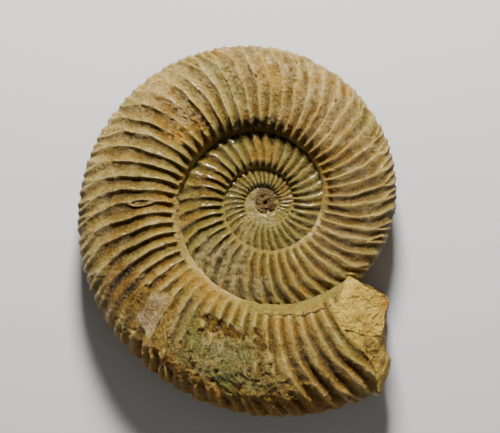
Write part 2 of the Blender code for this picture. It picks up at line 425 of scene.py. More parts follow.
@dataclass(frozen=True)
class Stretch:
    """A stretch of the coil that is made as one closed tube.

    A row of the mesh lies at a turn round the section, from -90 degrees at the tube's inner edge
    over 0 at its widest place to 90 at its outer edge; turns holds how far each of the four bands
    of rows reaches, and bands the share of a side's rows that each takes.
    """

    name: str
    first_rib: float
    last_rib: float
    columns: int
    rows: int
    shown_rows: float
    bands: Tuple[float, float, float]
    start_dome: float
    end_dome: float
    cut_at_mouth: bool
    joints: Tuple[float, ...] = ()
    turns: Tuple[float, float, float] = (-72.0, 0.0, 62.0)

    def parts(self, count: int) -> List["Stretch"]:
        """Splits the stretch into tubes that meet face to face, for a finer mesh.

        Args:
            count: how many tubes; each has about the stretch's number of columns.

        Returns:
            The tubes in their order; at a joint the flat cap lies one column past the meeting line.
        """
        span = (self.last_rib - self.first_rib) / count
        step = span / (self.columns - 3)
        found = []
        for k in range(count):
            first, last = k == 0, k == count - 1
            found.append(replace(
                self,
                name=f"{self.name}_{k + 1}",
                first_rib=self.first_rib + k * span - (0.0 if first else step),
                last_rib=self.first_rib + (k + 1) * span + (0.0 if last else step),
                columns=self.columns - int(first) - int(last),
                start_dome=self.start_dome if first else 0.5 * step,
                end_dome=self.end_dome if last else 0.5 * step,
                cut_at_mouth=last and self.cut_at_mouth,
                joints=((self.first_rib + k * span,) if not first else ())
                + ((self.first_rib + (k + 1) * span,) if not last else ()),
            ))
        return found


class RibbedWhorls:
    """A Geometry Nodes tree that winds a ribbed tube along the coil."""

    RIB, SHARE, SIDE, GROOVE, ANGLE, OUTWARD = "rib", "share", "side", "groove", "angle", "outward"

    def __init__(self, section: Section, mouth: Mouth) -> None:
        """Builds the tree.

        Args:
            section: the form of the flanks and ribs.
            mouth: where the last whorl ends.
        """
        self.section = section
        self.mouth = mouth
        self.tree = bpy.data.node_groups.new("ribbed_whorls", "GeometryNodeTree")
        self.graph = Graph(self.tree)
        self.entry = self.tree.nodes.new("NodeGroupInput")
        self.sockets: Dict[str, str] = {}
        self._build()

    def _input(self, name: str, kind: str = "NodeSocketFloat") -> Signal:
        """Adds a named input to the tree."""
        item = self.tree.interface.new_socket(name, in_out="INPUT", socket_type=kind)
        self.sockets[name] = item.identifier
        return Signal(self.graph, self.entry.outputs[name])

    @staticmethod
    def _turn(row: Signal, shown_rows: Signal, bands: List[Signal], turns: List[Signal]) -> Signal:
        """The turn round the section, in degrees from -90 to 90, on either side.

        Args:
            row: the place of the row, from 0 to 1 round the tube.
            shown_rows: the share of the rows on the shown side.
            bands: the share of a side's rows where the first three bands end.
            turns: the turn where the first three bands end.

        Returns:
            The turn at the row.
        """
        shown = row / shown_rows
        hidden = (1.0 - row) / (1.0 - shown_rows)
        half = shown.math("MINIMUM", hidden)
        ends = [0.0, *bands, 1.0]
        stops = [-90.0, *turns, 90.0]
        turn: Number = -90.0
        for (low, high), (start, stop) in zip(zip(ends, ends[1:]), zip(stops, stops[1:])):
            turn = clamp((half - low) / (high - low)) * (stop - start) + turn
        return turn

    def _noise(self, place: Signal) -> Signal:
        """Smooth noise from -1 to 1 over a place."""
        inputs = {"Vector": place, "Scale": 1.0, "Detail": 1.0, "Roughness": 0.5}
        return self.graph.node("ShaderNodeTexNoise", inputs) * 2.0 - 1.0

    def _ribs(
        self, rib: Signal, share: Signal, side: Signal, angle: Signal, seed: Signal
    ) -> Tuple[Signal, Signal]:
        """The pattern of ribs, which wander, fork towards the outer edge and differ in height.

        Args:
            rib: the rib number.
            share: the share of the flank.
            side: 1 on the shown side and -1 on the hidden one.
            angle: the angle.
            seed: what the scatter is drawn from.

        Returns:
            The groove's share of its depth, 0 on a crest, 1 between ribs, and the ribs' strength.
        """
        graph, section = self.graph, self.section
        lot = graph.combine(rib.math("ROUND"), seed, side)
        chance = graph.node("ShaderNodeTexWhiteNoise", {"Vector": lot})
        along, across = section.wander_cells
        drift = self._noise(graph.combine(rib * along, share * across + seed * 7.0, side))
        wandered = rib + drift * section.wander * clamp(share * 2.0)
        part = wandered.math("FRACT")
        past_split = smooth_step((share - section.split_share) / section.split_length)
        slope = section.rib_skew * (1.0 - past_split)
        wandered = wandered + slope * (part * math.pi).math("SINE")
        off = (wandered - wandered.math("ROUND")).math("ABSOLUTE")
        split_at = section.split_share + (chance - 0.5) * section.split_scatter
        split_at = split_at + chance.math("LESS_THAN", section.simple_ribs)
        spread = smooth_step((share - split_at) / section.split_length) * section.fork_spread
        inside = off.math("LESS_THAN", spread)
        forked = (spread - off) * (section.fork_depth / section.fork_spread)
        between = inside * forked + (1.0 - inside) * (off - spread) / (0.5 - spread)

        crest = section.crest_round
        rounded = (between * between + crest**2).math("SQRT") - crest
        rounded = rounded / (math.sqrt(1.0 + crest**2) - crest)
        full = 0.5 - (between * math.pi).math("COSINE") * 0.5
        sharp = smooth_step((section.sharp_ribs_from - angle) / section.sharp_ribs_span)
        soft = smooth_step((share - section.soft_from) / section.soft_over) * section.softer
        soft = section.softness + soft
        broad = rounded + (full - rounded) * (soft * (1.0 - sharp))
        from_thin = (angle - section.thin_ribs_at).math("ABSOLUTE")
        thin = smooth_step((section.thin_ribs_span - from_thin) / section.thin_ribs_fade)
        thin = (thin * (1.0 - section.thinness) + section.thinness) * (1.0 - sharp * 0.5)
        groove = thin * (1.0 - (1.0 - rounded) * (1.0 - rounded)) + (1.0 - thin) * broad

        along, across = section.height_cells
        uneven = self._noise(graph.combine(rib * along, share * across, side * 4.0 + seed))
        fade = smooth_step((share - section.venter_start) / (1.0 - section.venter_start))
        strength = smooth_step(share / section.rib_full)
        grown = (angle - section.smooth_core_angle) / section.core_ribs_grow
        strength = strength * smooth_step(grown)
        strength = strength * (uneven * section.height_scatter + 1.0)
        return groove, strength * (1.0 - fade * (1.0 - section.venter_relief))

    def _build(self) -> None:
        """Adds the nodes: a grid of columns along the coil and rows round the section."""
        graph, section = self.graph, self.section
        kind = "NodeSocketGeometry"
        self.tree.interface.new_socket("Geometry", in_out="OUTPUT", socket_type=kind)
        columns, rows = (self._input(name, "NodeSocketInt") for name in ("Columns", "Rows"))
        first_rib, last_rib, shown_rows = map(self._input, ("First Rib", "Last Rib", "Shown Rows"))
        bands, turns = (
            [self._input(f"{name} {k}") for k in (1, 2, 3)] for name in ("Band", "Turn")
        )
        start_dome, end_dome = map(self._input, ("Start Dome", "End Dome"))
        runs_on, seed = map(self._input, ("Runs On", "Seed"))
        material = self._input("Material", "NodeSocketMaterial")
        coil = Coil(*[self._input(titled(law.name)) for law in fields(Coil)])

        inputs = {"Size X": 1.0, "Size Y": 1.0, "Vertices X": columns, "Vertices Y": rows}
        grid = graph.node("GeometryNodeMeshGrid", inputs)
        position = graph.node("GeometryNodeInputPosition")
        place = [graph.node("ShaderNodeSeparateXYZ", {0: position}, output=k) for k in range(2)]
        column, row = place[0] + 0.5, place[1] + 0.5

        turn = self._turn(row, shown_rows, bands, turns)
        round_by = turn * (math.pi / 180.0)
        outer_part = turn.math("GREATER_THAN", 0.0)
        rounder = section.venter_roundness - section.shoulder_roundness
        power = outer_part * rounder + section.shoulder_roundness
        across = round_by.math("SINE").math("ABSOLUTE") ** (2.0 / power)
        height = larger(round_by.math("COSINE"), 0.0) ** (2.0 / power)
        inner_span = section.widest_share + section.seam_tuck
        span = outer_part * (1.0 - section.widest_share - inner_span) + inner_span
        out = outer_part * 2.0 - 1.0
        share = across * span * out + section.widest_share
        side = row.math("LESS_THAN", shown_rows) * 2.0 - 1.0

        low, high = self.mouth.between_ribs
        ends = [(s, (rib - low) / (high - low)) for s, rib in self.mouth.last_ribs(Coil())]
        curve = graph.node("ShaderNodeFloatCurve", {"Value": clamp(share)}, {"points": ends})
        rib_end = curve * (high - low) + low + runs_on * high
        rib_raw = first_rib + (last_rib - first_rib) * column
        rib = smaller(rib_raw, rib_end)
        angle = coil.rib_angle(rib) + coil.rib_lean(share)

        inner, outer = coil.seam(angle), coil.venter(angle)
        breadth = coil.half_breadth(angle)
        flank = outer - inner
        slope_out = out * across ** (power - 1.0) / (span * flank)
        slope_up = height ** (power - 1.0) / breadth
        length = (slope_out * slope_out + slope_up * slope_up).math("SQRT")
        normal_out, normal_up = slope_out / length, slope_up / length

        groove, strength = self._ribs(rib, share, side, angle, seed)
        depth = groove * strength * coil.rib_relief(angle)

        start = clamp((first_rib + start_dome - rib_raw) / start_dome)
        end = clamp((rib_raw - last_rib + end_dome) / end_dome)
        end_dome_height = (1.0 - end * end).math("SQRT")
        dome = (1.0 - start * start).math("SQRT") * end_dome_height
        middle = inner + flank * 0.5
        radius = middle + (inner + flank * share - depth * normal_out - middle) * dome
        rise = side * (breadth * height - depth * normal_up) * dome
        swing = (coil.mouth_angle - angle) * (1.0 - end_dome_height) * (1.0 - runs_on)
        turned = (angle + swing) * (math.pi / 180.0)
        cosine, sine = turned.math("COSINE"), turned.math("SINE")
        outward = graph.combine(cosine * normal_out, sine * normal_out, side * normal_up)

        mesh = grid
        facts = {self.RIB: rib, self.SHARE: share, self.SIDE: side, self.ANGLE: angle}
        facts[self.GROOVE] = groove * strength
        for name, value in facts.items():
            mesh = self._store(mesh, name, value, "FLOAT")
        mesh = self._store(mesh, self.OUTWARD, outward, "FLOAT_VECTOR")
        spot = graph.combine(radius * cosine, radius * sine, rise)
        mesh = graph.node("GeometryNodeSetPosition", {"Geometry": mesh, "Position": spot})
        mesh = graph.node("GeometryNodeMergeByDistance", {"Geometry": mesh, "Distance": 2e-6})
        mesh = graph.node("GeometryNodeRealizeInstances", {"Geometry": mesh})
        mesh = graph.node("GeometryNodeSetMaterial", {"Geometry": mesh, "Material": material})
        exit_node = self.tree.nodes.new("NodeGroupOutput")
        self.tree.links.new(mesh.socket, exit_node.inputs["Geometry"])

    def _store(self, mesh: Signal, name: str, value: Signal, kind: str) -> Signal:
        """Stores a value on the mesh's points under a name."""
        inputs = {"Geometry": mesh, "Name": name, "Value": value}
        settings = {"data_type": kind, "domain": "POINT"}
        return self.graph.node("GeometryNodeStoreNamedAttribute", inputs, settings)

    def make(
        self, stretch: Stretch, coil: Coil, seed: float, material: bpy.types.Material
    ) -> bpy.types.Object:
        """Runs the tree for one stretch of the coil.

        Args:
            stretch: the stretch and its mesh.
            coil: the spiral's laws.
            seed: what the uneven ribs are drawn from.
            material: the finish of the tube.

        Returns:
            A plain mesh object in the coil's own frame.
        """
        runs_on = 0.0 if stretch.cut_at_mouth else 1.0
        values: Dict[str, Any] = {"Runs On": runs_on, "Seed": seed, "Material": material}
        for given in (stretch, coil):
            values.update({titled(item.name): getattr(given, item.name) for item in fields(given)})
        for name, three in (("Band", stretch.bands), ("Turn", stretch.turns)):
            values.update({f"{name} {k}": value for k, value in enumerate(three, 1)})
        guide = add_object(stretch.name, bpy.data.meshes.new(stretch.name))
        modifier = guide.modifiers.new("whorls", "NODES")
        modifier.node_group = self.tree
        for name, socket in self.sockets.items():
            modifier[socket] = values[name]
        graph = bpy.context.evaluated_depsgraph_get()
        mesh = bpy.data.meshes.new_from_object(guide.evaluated_get(graph))
        guide.modifiers.remove(modifier)
        guide.data = mesh
        mesh.name = stretch.name
        return guide


class MeshPoints:
    """A mesh's points and their named values as arrays."""

    reach = 2.0 * MM

    def __init__(self, mesh: bpy.types.Mesh) -> None:
        """Reads the points.

        Args:
            mesh: the mesh to read and write.
        """
        self.mesh = mesh
        self.count = len(mesh.vertices)
        places = np.empty(self.count * 3, np.float32)
        mesh.vertices.foreach_get("co", places)
        self.places = places.reshape(-1, 3).astype(float)

    def read(self, name: str, width: int = 1) -> np.ndarray:
        """Reads a named value of every point."""
        values = np.empty(self.count * width, np.float32)
        key = "value" if width == 1 else "vector"
        self.mesh.attributes[name].data.foreach_get(key, values)
        return (values.reshape(-1, width) if width > 1 else values).astype(float)

    def write(self, name: str, values: np.ndarray) -> None:
        """Stores a named value on every point."""
        found = self.mesh.attributes.get(name) or self.mesh.attributes.new(name, "FLOAT", "POINT")
        found.data.foreach_set("value", values.astype(np.float32))

    def crease(self, name: str, value: float, near: float) -> None:
        """Makes the edges sharp along which a named value holds.

        Args:
            name: the value's name.
            value: what it is along the edges.
            near: how far off it may be.
        """
        ends = np.empty(len(self.mesh.edges) * 2, np.int32)
        self.mesh.edges.foreach_get("vertices", ends)
        on = np.abs(self.read(name) - value) < near
        self.mesh.edges.foreach_set("use_edge_sharp", on[ends].reshape(-1, 2).all(axis=1))

    def hollows(self, outward: np.ndarray, rounds: int) -> np.ndarray:
        """How far each point lies below the mean of the points round it.

        Args:
            outward: the way out of the surface at each point.
            rounds: how many times the mean is taken.

        Returns:
            The depth in metres, negative on edges and crests.
        """
        ends = np.empty(len(self.mesh.edges) * 2, np.int32)
        self.mesh.edges.foreach_get("vertices", ends)
        first, second = ends.reshape(-1, 2).T
        short = np.linalg.norm(self.places[first] - self.places[second], axis=1) < self.reach
        first, second = first[short], second[short]
        near = np.bincount(first, minlength=self.count) + np.bincount(second, minlength=self.count)
        mean = self.places.copy()
        for _ in range(rounds):
            for axis in range(3):
                values = mean[:, axis]
                total = np.bincount(first, values[second], self.count)
                total = total + np.bincount(second, values[first], self.count)
                mean[:, axis] = 0.5 * values + 0.5 * total / np.maximum(near, 1)
        return np.sum((mean - self.places) * outward, axis=1)

    def place(self) -> None:
        """Writes the places back to the mesh."""
        self.mesh.vertices.foreach_set("co", self.places.astype(np.float32).ravel())
        self.mesh.update()


def closed_sleeve(name: str, loops: np.ndarray, material: bpy.types.Material) -> bpy.types.Object:
    """Joins loops of points, one after another, to a closed mesh with a face over each end.

    Args:
        name: the object's name.
        loops: the points, by loop and by place in the loop.
        material: the finish.

    Returns:
        The mesh object.
    """
    rows, width = loops.shape[:2]
    faces: List[Sequence[int]] = []
    for row in range(rows - 1):
        for k in range(width):
            here, after = row * width + k, row * width + (k + 1) % width
            faces.append((here, after, after + width, here + width))
    faces.append(tuple(range(width))[::-1])
    faces.append(tuple((rows - 1) * width + k for k in range(width)))
    mesh = bpy.data.meshes.new(name)
    mesh.from_pydata(loops.reshape(-1, 3).tolist(), [], faces)
    build = bmesh.new()
    build.from_mesh(mesh)
    bmesh.ops.remove_doubles(build, verts=build.verts, dist=1e-6)
    bmesh.ops.triangulate(build, faces=[f for f in build.faces if len(f.verts) > 4])
    bmesh.ops.recalc_face_normals(build, faces=build.faces)
    build.to_mesh(mesh)
    build.free()
    mesh.materials.append(material)
    return add_object(name, mesh)


class Grain:
    """Smooth noise over arrays of points, the same at every run."""

    def __init__(self, seed: int, cells: int = 64) -> None:
        """Draws the lattice.

        Args:
            seed: what the lattice is drawn from.
            cells: after how many cells the noise repeats.
        """
        rng = np.random.default_rng(seed)
        self.cells = cells
        self.values = rng.uniform(-1.0, 1.0, (cells, cells, cells))

    def smooth(self, points: np.ndarray, size: float) -> np.ndarray:
        """Noise from -1 to 1 with lumps of a given size.

        Args:
            points: the places, one row each.
            size: the size of a lump.

        Returns:
            The noise at each place.
        """
        scaled = points / size
        base = np.floor(scaled).astype(int)
        part = scaled - base
        part = part * part * (3.0 - 2.0 * part)
        total = np.zeros(len(points))
        for corner in range(8):
            step = np.array([corner & 1, corner >> 1 & 1, corner >> 2 & 1])
            weight = np.prod(np.where(step == 1, part, 1.0 - part), axis=1)
            cell = (base + step) % self.cells
            total += weight * self.values[cell[:, 0], cell[:, 1], cell[:, 2]]
        return total

    def rough(self, points: np.ndarray, size: float, octaves: int = 3) -> np.ndarray:
        """Noise of several sizes laid over each other."""
        total = np.zeros(len(points))
        for k in range(octaves):
            shifted = points + 17.3 * size * k
            total += self.smooth(shifted, size / 2.0**k) * 0.55**k
        return total

    def crags(self, points: np.ndarray) -> np.ndarray:
        """Rough ground of worn lumps with sharp clefts between them, from about 0 to 2."""
        warp = np.stack([self.rough(points + k, 3.0 * MM, 2) for k in (0.0, 0.011, 0.023)], axis=1)
        bent = points + 1.2 * MM * warp
        total = np.zeros(len(points))
        for size, share in ((4.4 * MM, 0.5), (2.2 * MM, 0.55), (1.1 * MM, 0.45), (0.6 * MM, 0.3)):
            total += share * (1.0 - np.abs(self.smooth(bent + 3.1 * size, size))) ** 3
        return total

    def shards(self, points: np.ndarray, size: Tuple[float, float, float]) -> np.ndarray:
        """Steps between flat shards, each with its own height from 0 to 1.

        Args:
            points: the places, one row each.
            size: the size of a shard along each axis.

        Returns:
            The height of the shard that each place is on.
        """
        scaled = points / np.array(size)
        base = np.floor(scaled).astype(int)
        nearest = np.full(len(points), np.inf)
        height = np.zeros(len(points))
        for step in range(9):
            cell = base + np.array([step % 3 - 1, step // 3 - 1, 0])
            u, v, w = (cell % self.cells).T
            jitter = [self.values[u, v, (w + 9 * k) % self.cells] for k in range(3)]
            spot = cell[:, :2] + 0.5 + 0.45 * np.stack(jitter[:2], axis=1)
            away = np.sum((scaled[:, :2] - spot) ** 2, axis=1)
            closer = away < nearest
            nearest = np.where(closer, away, nearest)
            height = np.where(closer, 0.5 + 0.5 * jitter[2], height)
        return height


class Stain(Enum):
    """What colours the shell or the stone at a place; at some places dark stands for painted shade
    and pale for a painted highlight.
    """

    GREEN = "green"
    RUST = "rust"
    PALE = "pale"
    DARK = "dark"
    STONE = "stone"
    CAST = "cast"
    # how far the surface lies below its neighbours; the shell is darker in such hollows and paler
    # on edges that stand out
    CRACK = "crack"


@dataclass(frozen=True)
class Place:
    """A worn, broken or stained place on the shown flank, or one with painted shade or a painted
    highlight.

    It follows the ribs' course. Blocky places have corners, others are round. A negative share of
    ribs lost deepens the grooves; a smooth place lacks the grain of the shell round it. The last
    six are the amounts of its stains, by the stains' names.
    """

    name: str
    angle: float
    share: float
    half_angle: float
    half_share: float
    edge: float = 0.5
    ribs_lost: float = 0.0
    depth: float = 0.0
    rough: float = 0.0
    grain: float = 2.0 * MM
    shards: float = 0.0
    crags: float = 0.0
    blocky: bool = False
    smooth: float = 0.0
    ragged: float = 0.22
    green: float = 0.0
    rust: float = 0.0
    pale: float = 0.0
    dark: float = 0.0
    stone: float = 0.0
    cast: float = 0.0


PLACES: Tuple[Place, ...] = (
    # The eroded, green ground near the mouth.
    Place("eroded patch", 257, 0.58, 15, 0.28, 0.25, 0.85, 0.3 * MM, 0.6 * MM, 6.0 * MM, 0.3 * MM,
          ragged=0.42, stone=0.9, pale=0.10),
    Place("eroded patch", 244, 0.75, 10, 0.20, 0.25, 0.75, 0.1 * MM, 0.35 * MM, 5.0 * MM, 0.3 * MM,
          ragged=0.42, stone=0.8),
    Place("eroded patch", 270, 0.74, 11, 0.17, 0.25, 0.75, 0.1 * MM, 0.3 * MM, 4.0 * MM,
          ragged=0.42, stone=0.8),
    Place("grainy patch", 255, 0.64, 24, 0.34, 0.5, 0.0, 0.0, 0.22 * MM, 1.8 * MM, crags=0.05 * MM,
          ragged=0.5),
    Place("green film", 258, 0.66, 15, 0.30, 0.9, ragged=0.6, green=1.0),
    Place("green film", 244, 0.50, 9, 0.24, 0.8, ragged=0.6, green=0.9),
    Place("pale crust", 255, 0.49, 7, 0.08, 0.5, 0.0, -0.3 * MM, 0.2 * MM, 1.2 * MM, ragged=0.6,
          pale=0.5, stone=0.6),
    Place("white ridge", 264, 0.60, 1.1, 0.28, 0.7, 0.0, -0.35 * MM, 0.3 * MM, 1.2 * MM, ragged=0.6,
          pale=0.45),
    Place("pale crust", 250, 0.72, 6, 0.08, 0.5, 0.0, -0.2 * MM, 0.2 * MM, 1.2 * MM, ragged=0.6,
          pale=0.25, stone=0.6),
    Place("green film", 238, 0.40, 5, 0.12, 0.9, green=0.7),
    # a real hollow, its dark partly painted shadow below the ragged ledge at the patch's upper edge
    Place("upper hollow", 253, 0.30, 11, 0.065, 0.5, 0.5, 1.3 * MM, 0.6 * MM, 1.6 * MM, ragged=0.6,
          dark=1.0, rust=0.3),
    Place("round hollow", 269.5, 0.33, 3.8, 0.11, 0.5, 0.6, 1.4 * MM, 0.6 * MM, 1.6 * MM,
          ragged=0.5, dark=1.0, rust=0.3),
    # The brown scar next to it, with the bared cast of stone.
    Place("splintered ribs", 236, 0.46, 7, 0.26, 0.6, 0.1, 0.1 * MM, 0.10 * MM, 1.0 * MM, 0.35 * MM,
          stone=0.2, pale=0.12, dark=0.2),
    Place("brown scar", 222, 0.62, 8, 0.28, 0.5, 0.2, 0.2 * MM, 0.15 * MM, 1.0 * MM, ragged=0.4,
          dark=0.65, stone=0.5),
    Place("bared cast", 225, 0.56, 4.6, 0.20, 0.22, 0.85, 0.5 * MM, 0.30 * MM, 1.6 * MM, 0.25 * MM,
          blocky=True, smooth=0.4, ragged=0.2, cast=0.8, dark=0.3, rust=0.25),
    Place("bright corner", 227.6, 0.63, 1.1, 0.13, 0.5, ragged=0.4, cast=0.9, pale=0.9),
    Place("brown step", 232.4, 0.62, 2.4, 0.20, 0.08, 0.8, 0.5 * MM, 0.2 * MM, 1.0 * MM, 0.4 * MM,
          blocky=True, stone=0.6, rust=0.4),
    Place("brown step", 218.5, 0.62, 2.0, 0.16, 0.08, 0.7, 0.4 * MM, 0.2 * MM, 1.0 * MM, 0.3 * MM,
          blocky=True, stone=0.6, rust=0.3),
    # The outer edge.
    Place("spiny outer edge", 243, 1.0, 20, 0.22, 0.35, -1.6, crags=0.25 * MM, pale=0.25),
    Place("craggy outer edge", 276, 0.97, 22, 0.16, 0.5, -0.8, crags=0.5 * MM),
    Place("rusty outer edge", 256, 1.0, 50, 0.30, 0.4, rust=1.0),
    # The top and the upper left.
    Place("faded ribs", 130, 0.84, 14, 0.16, 0.6, 0.6, 0.1 * MM, 0.12 * MM, 1.0 * MM, 0.12 * MM,
          pale=0.5),
    Place("flaked top", 86, 0.62, 11, 0.30, 0.6, 0.45, 0.0, 0.10 * MM, 1.0 * MM, 0.12 * MM,
          rust=0.45),
    Place("white worn spot", 88, 0.80, 2.0, 0.07, 0.4, 0.6, pale=1.0),
    Place("white worn spot", 81, 0.78, 1.6, 0.07, 0.4, 0.6, pale=1.0),
    Place("hollow", 128.5, 0.24, 4.4, 0.15, 0.7, 0.6, 1.5 * MM, 0.4 * MM, 1.0 * MM, ragged=0.4,
          dark=1.0, rust=0.3),
    Place("grey crust", 131.5, 0.41, 4.8, 0.11, 0.3, 0.8, 0.2 * MM, 0.35 * MM, 0.9 * MM, ragged=0.4,
          cast=0.4, stone=0.7, rust=0.3, dark=0.3),
    Place("broken crust", 144, 0.30, 3.5, 0.10, 0.4, 0.6, 0.2 * MM, 0.3 * MM, 1.0 * MM, ragged=0.4,
          rust=0.8),
    Place("rust streak", 135, 0.62, 2.0, 0.12, 0.6, 0.3, 0.2 * MM, 0.2 * MM, 1.0 * MM, rust=1.0),
    Place("rust wall", 133, 0.05, 7, 0.07, 0.7, rust=0.9),
    Place("shell rim", 181, 0.36, 2.1, 0.13, 0.3, 0.8, 0.0, ragged=0.1, pale=0.5),
    Place("shell hollow", 181, 0.36, 1.3, 0.10, 0.3, 0.0, 0.7 * MM, ragged=0.1, dark=0.7),
    Place("splintered crust", 138, 0.36, 13, 0.26, 0.5, 0.35, 0.0, 0.10 * MM, 1.0 * MM, 0.6 * MM,
          0.40 * MM, rust=0.35, dark=0.25),
    # The right side, the walls and the wide films of dust and dirt, with painted shade under the
    # overhanging walls.
    Place("clean ribs", -13, 0.45, 52, 0.58, 0.5, -0.30, smooth=0.85, ragged=0.1, cast=0.12),
    Place("smooth wall", 6, 0.01, 42, 0.075, 0.5, 0.8, smooth=0.8, ragged=0.1, green=0.3),
    # painted shade under the overhanging umbilical wall at the top
    Place("dark wall", 97, 0.02, 46, 0.11, 0.8, dark=0.9),
    # painted shade on the second whorl's outer part beneath the last whorl's overhanging wall
    Place("dark seam", -288, 0.74, 80, 0.36, 0.6, dark=0.9),
    Place("dusty ribs", 88, 0.70, 108, 0.50, 0.9, ragged=0.6, pale=0.40),
    Place("brown ribs", 286, 0.72, 18, 0.34, 0.8, rust=0.4),
    # mud on the ribs, and painted shade at the top where the second whorl meets the third
    Place("muddy ribs", -268, 0.32, 24, 0.42, 0.7, 0.5, -0.1 * MM, 0.3 * MM, 1.4 * MM,
          crags=0.30 * MM, rust=0.8, dark=0.6),
    Place("rubble", -485, 0.34, 26, 0.28, 0.6, 0.8, -0.2 * MM, 0.35 * MM, 1.2 * MM, crags=0.35 * MM,
          ragged=0.5, pale=0.45, rust=0.3, stone=0.4),
    # painted highlights: thin bright lines along the umbilical seam
    Place("white seam", -32, 0.02, 26, 0.035, 0.5, pale=1.0),
    Place("white seam", 236, 0.0, 26, 0.016, 0.5, pale=0.9),
    Place("inner whorls", -500, 0.5, 470, 2.0, 0.15, -0.9, crags=0.05 * MM, blocky=True,
          ragged=0.02, green=0.35, dark=0.30),
    Place("low ribs", -640, 0.5, 210, 2.0, 0.2, 0.35, blocky=True, ragged=0.05, dark=0.35),
    Place("brown flank", 211, 0.70, 11, 0.30, 0.7, rust=0.3, dark=1.0),
    # Pits, cracks and worn ledges.
    Place("pit", 54.5, 0.72, 1.0, 0.03, 0.5, 0.3, 0.9 * MM, 0.2 * MM, 0.8 * MM, dark=1.0),
    Place("pit", 93.5, 0.61, 0.9, 0.03, 0.5, 0.3, 0.9 * MM, 0.2 * MM, 0.8 * MM, dark=1.0),
    Place("hooked crack", 58, 0.50, 1.0, 0.05, 0.5, 0.3, 0.5 * MM, 0.2 * MM, 0.8 * MM, dark=0.9),
    Place("smooth band", 283, 0.01, 34, 0.092, 0.35, 0.85, 0.0, 0.18 * MM, 1.6 * MM, ragged=0.15,
          rust=0.1, green=0.5),
    Place("smooth ledge", 205, 0.0, 56, 0.050, 0.35, 0.9, 0.0, 0.10 * MM, 1.2 * MM, ragged=0.15,
          pale=0.2),
    Place("faded ribs", 236, 0.10, 18, 0.15, 0.7, 0.6, 0.0, 0.1 * MM, 1.2 * MM, rust=0.35),
    Place("grey film", 106, 0.62, 10, 0.42, 0.9, green=0.65, pale=0.20),
    Place("dark grooves", 190, 0.50, 30, 0.36, 0.7, -0.2, dark=0.30),
    Place("dark line", 94.5, 0.52, 0.5, 0.34, 0.6, 0.0, 0.3 * MM, ragged=0.5, dark=0.9),
    Place("crack", 278, 0.078, 9, 0.013, 0.6, 0.0, 2.2 * MM, ragged=0.35, dark=1.0),
    Place("crack", 293, 0.105, 9, 0.014, 0.6, 0.0, 2.2 * MM, ragged=0.35, dark=1.0),
    # The core and the worn side of the second whorl.
    Place("pale core", -865, 0.45, 95, 0.9, 0.4, 0.8, 0.0, 0.10 * MM, 0.9 * MM, cast=0.25,
          pale=0.35, green=0.6, dark=0.2),
    Place("brown core", -1010, 0.40, 75, 0.9, 0.5, 0.0, 0.0, 0.25 * MM, 1.2 * MM, crags=0.15 * MM,
          dark=1.0),
    Place("brown core", -960, 0.20, 110, 0.34, 0.8, dark=0.8),
    Place("lilac rib", -131.5, 0.42, 1.7, 0.26, 0.4, 0.4, smooth=0.6, cast=0.9),
    Place("worn ribs", -122, 0.50, 34, 0.44, 0.6, 0.5, 0.0, 0.42 * MM, 1.8 * MM, crags=0.35 * MM,
          ragged=0.4, stone=0.6, green=0.45, pale=0.45, dark=0.25),
    Place("dark furrow", -125, 0.53, 3.8, 0.28, 0.6, -0.3, 0.3 * MM, 0.2 * MM, 1.0 * MM, ragged=0.4,
          dark=1.0),
    Place("dark furrow", -137, 0.50, 2.4, 0.22, 0.6, -0.3, 0.2 * MM, ragged=0.4, dark=0.9),
    Place("mottled flank", 178, 0.55, 44, 0.50, 0.8, 0.0, 0.0, 0.12 * MM, 1.1 * MM, ragged=0.5,
          stone=0.35, dark=0.10),
    # painted shade on the third whorl's outer part under the second whorl's overhanging wall
    Place("dark seam", -636, 0.72, 60, 0.30, 0.7, dark=0.9),
    Place("crusty ribs", -188, 0.50, 36, 0.42, 0.7, 0.35, -0.1 * MM, 0.25 * MM, 1.2 * MM,
          crags=0.25 * MM, ragged=0.5, stone=0.5, rust=0.25, dark=0.45),
    Place("dark grooves", 290, 0.62, 12, 0.34, 0.7, -0.3, dark=0.4),
)


@dataclass(frozen=True)
class Scatter:
    """Flakes or chips that are missing all over the shell, wherever noise rises above a level."""

    size: float
    depth: float
    above: float
    over: float
    octaves: int
    shift: float

    def loss(self, grain: Grain, points: np.ndarray) -> np.ndarray:
        """How much is missing at each point, from 0 to 1."""
        noise = grain.rough(points + self.shift, self.size, self.octaves)
        return smooth_step((noise - self.above) / self.over)


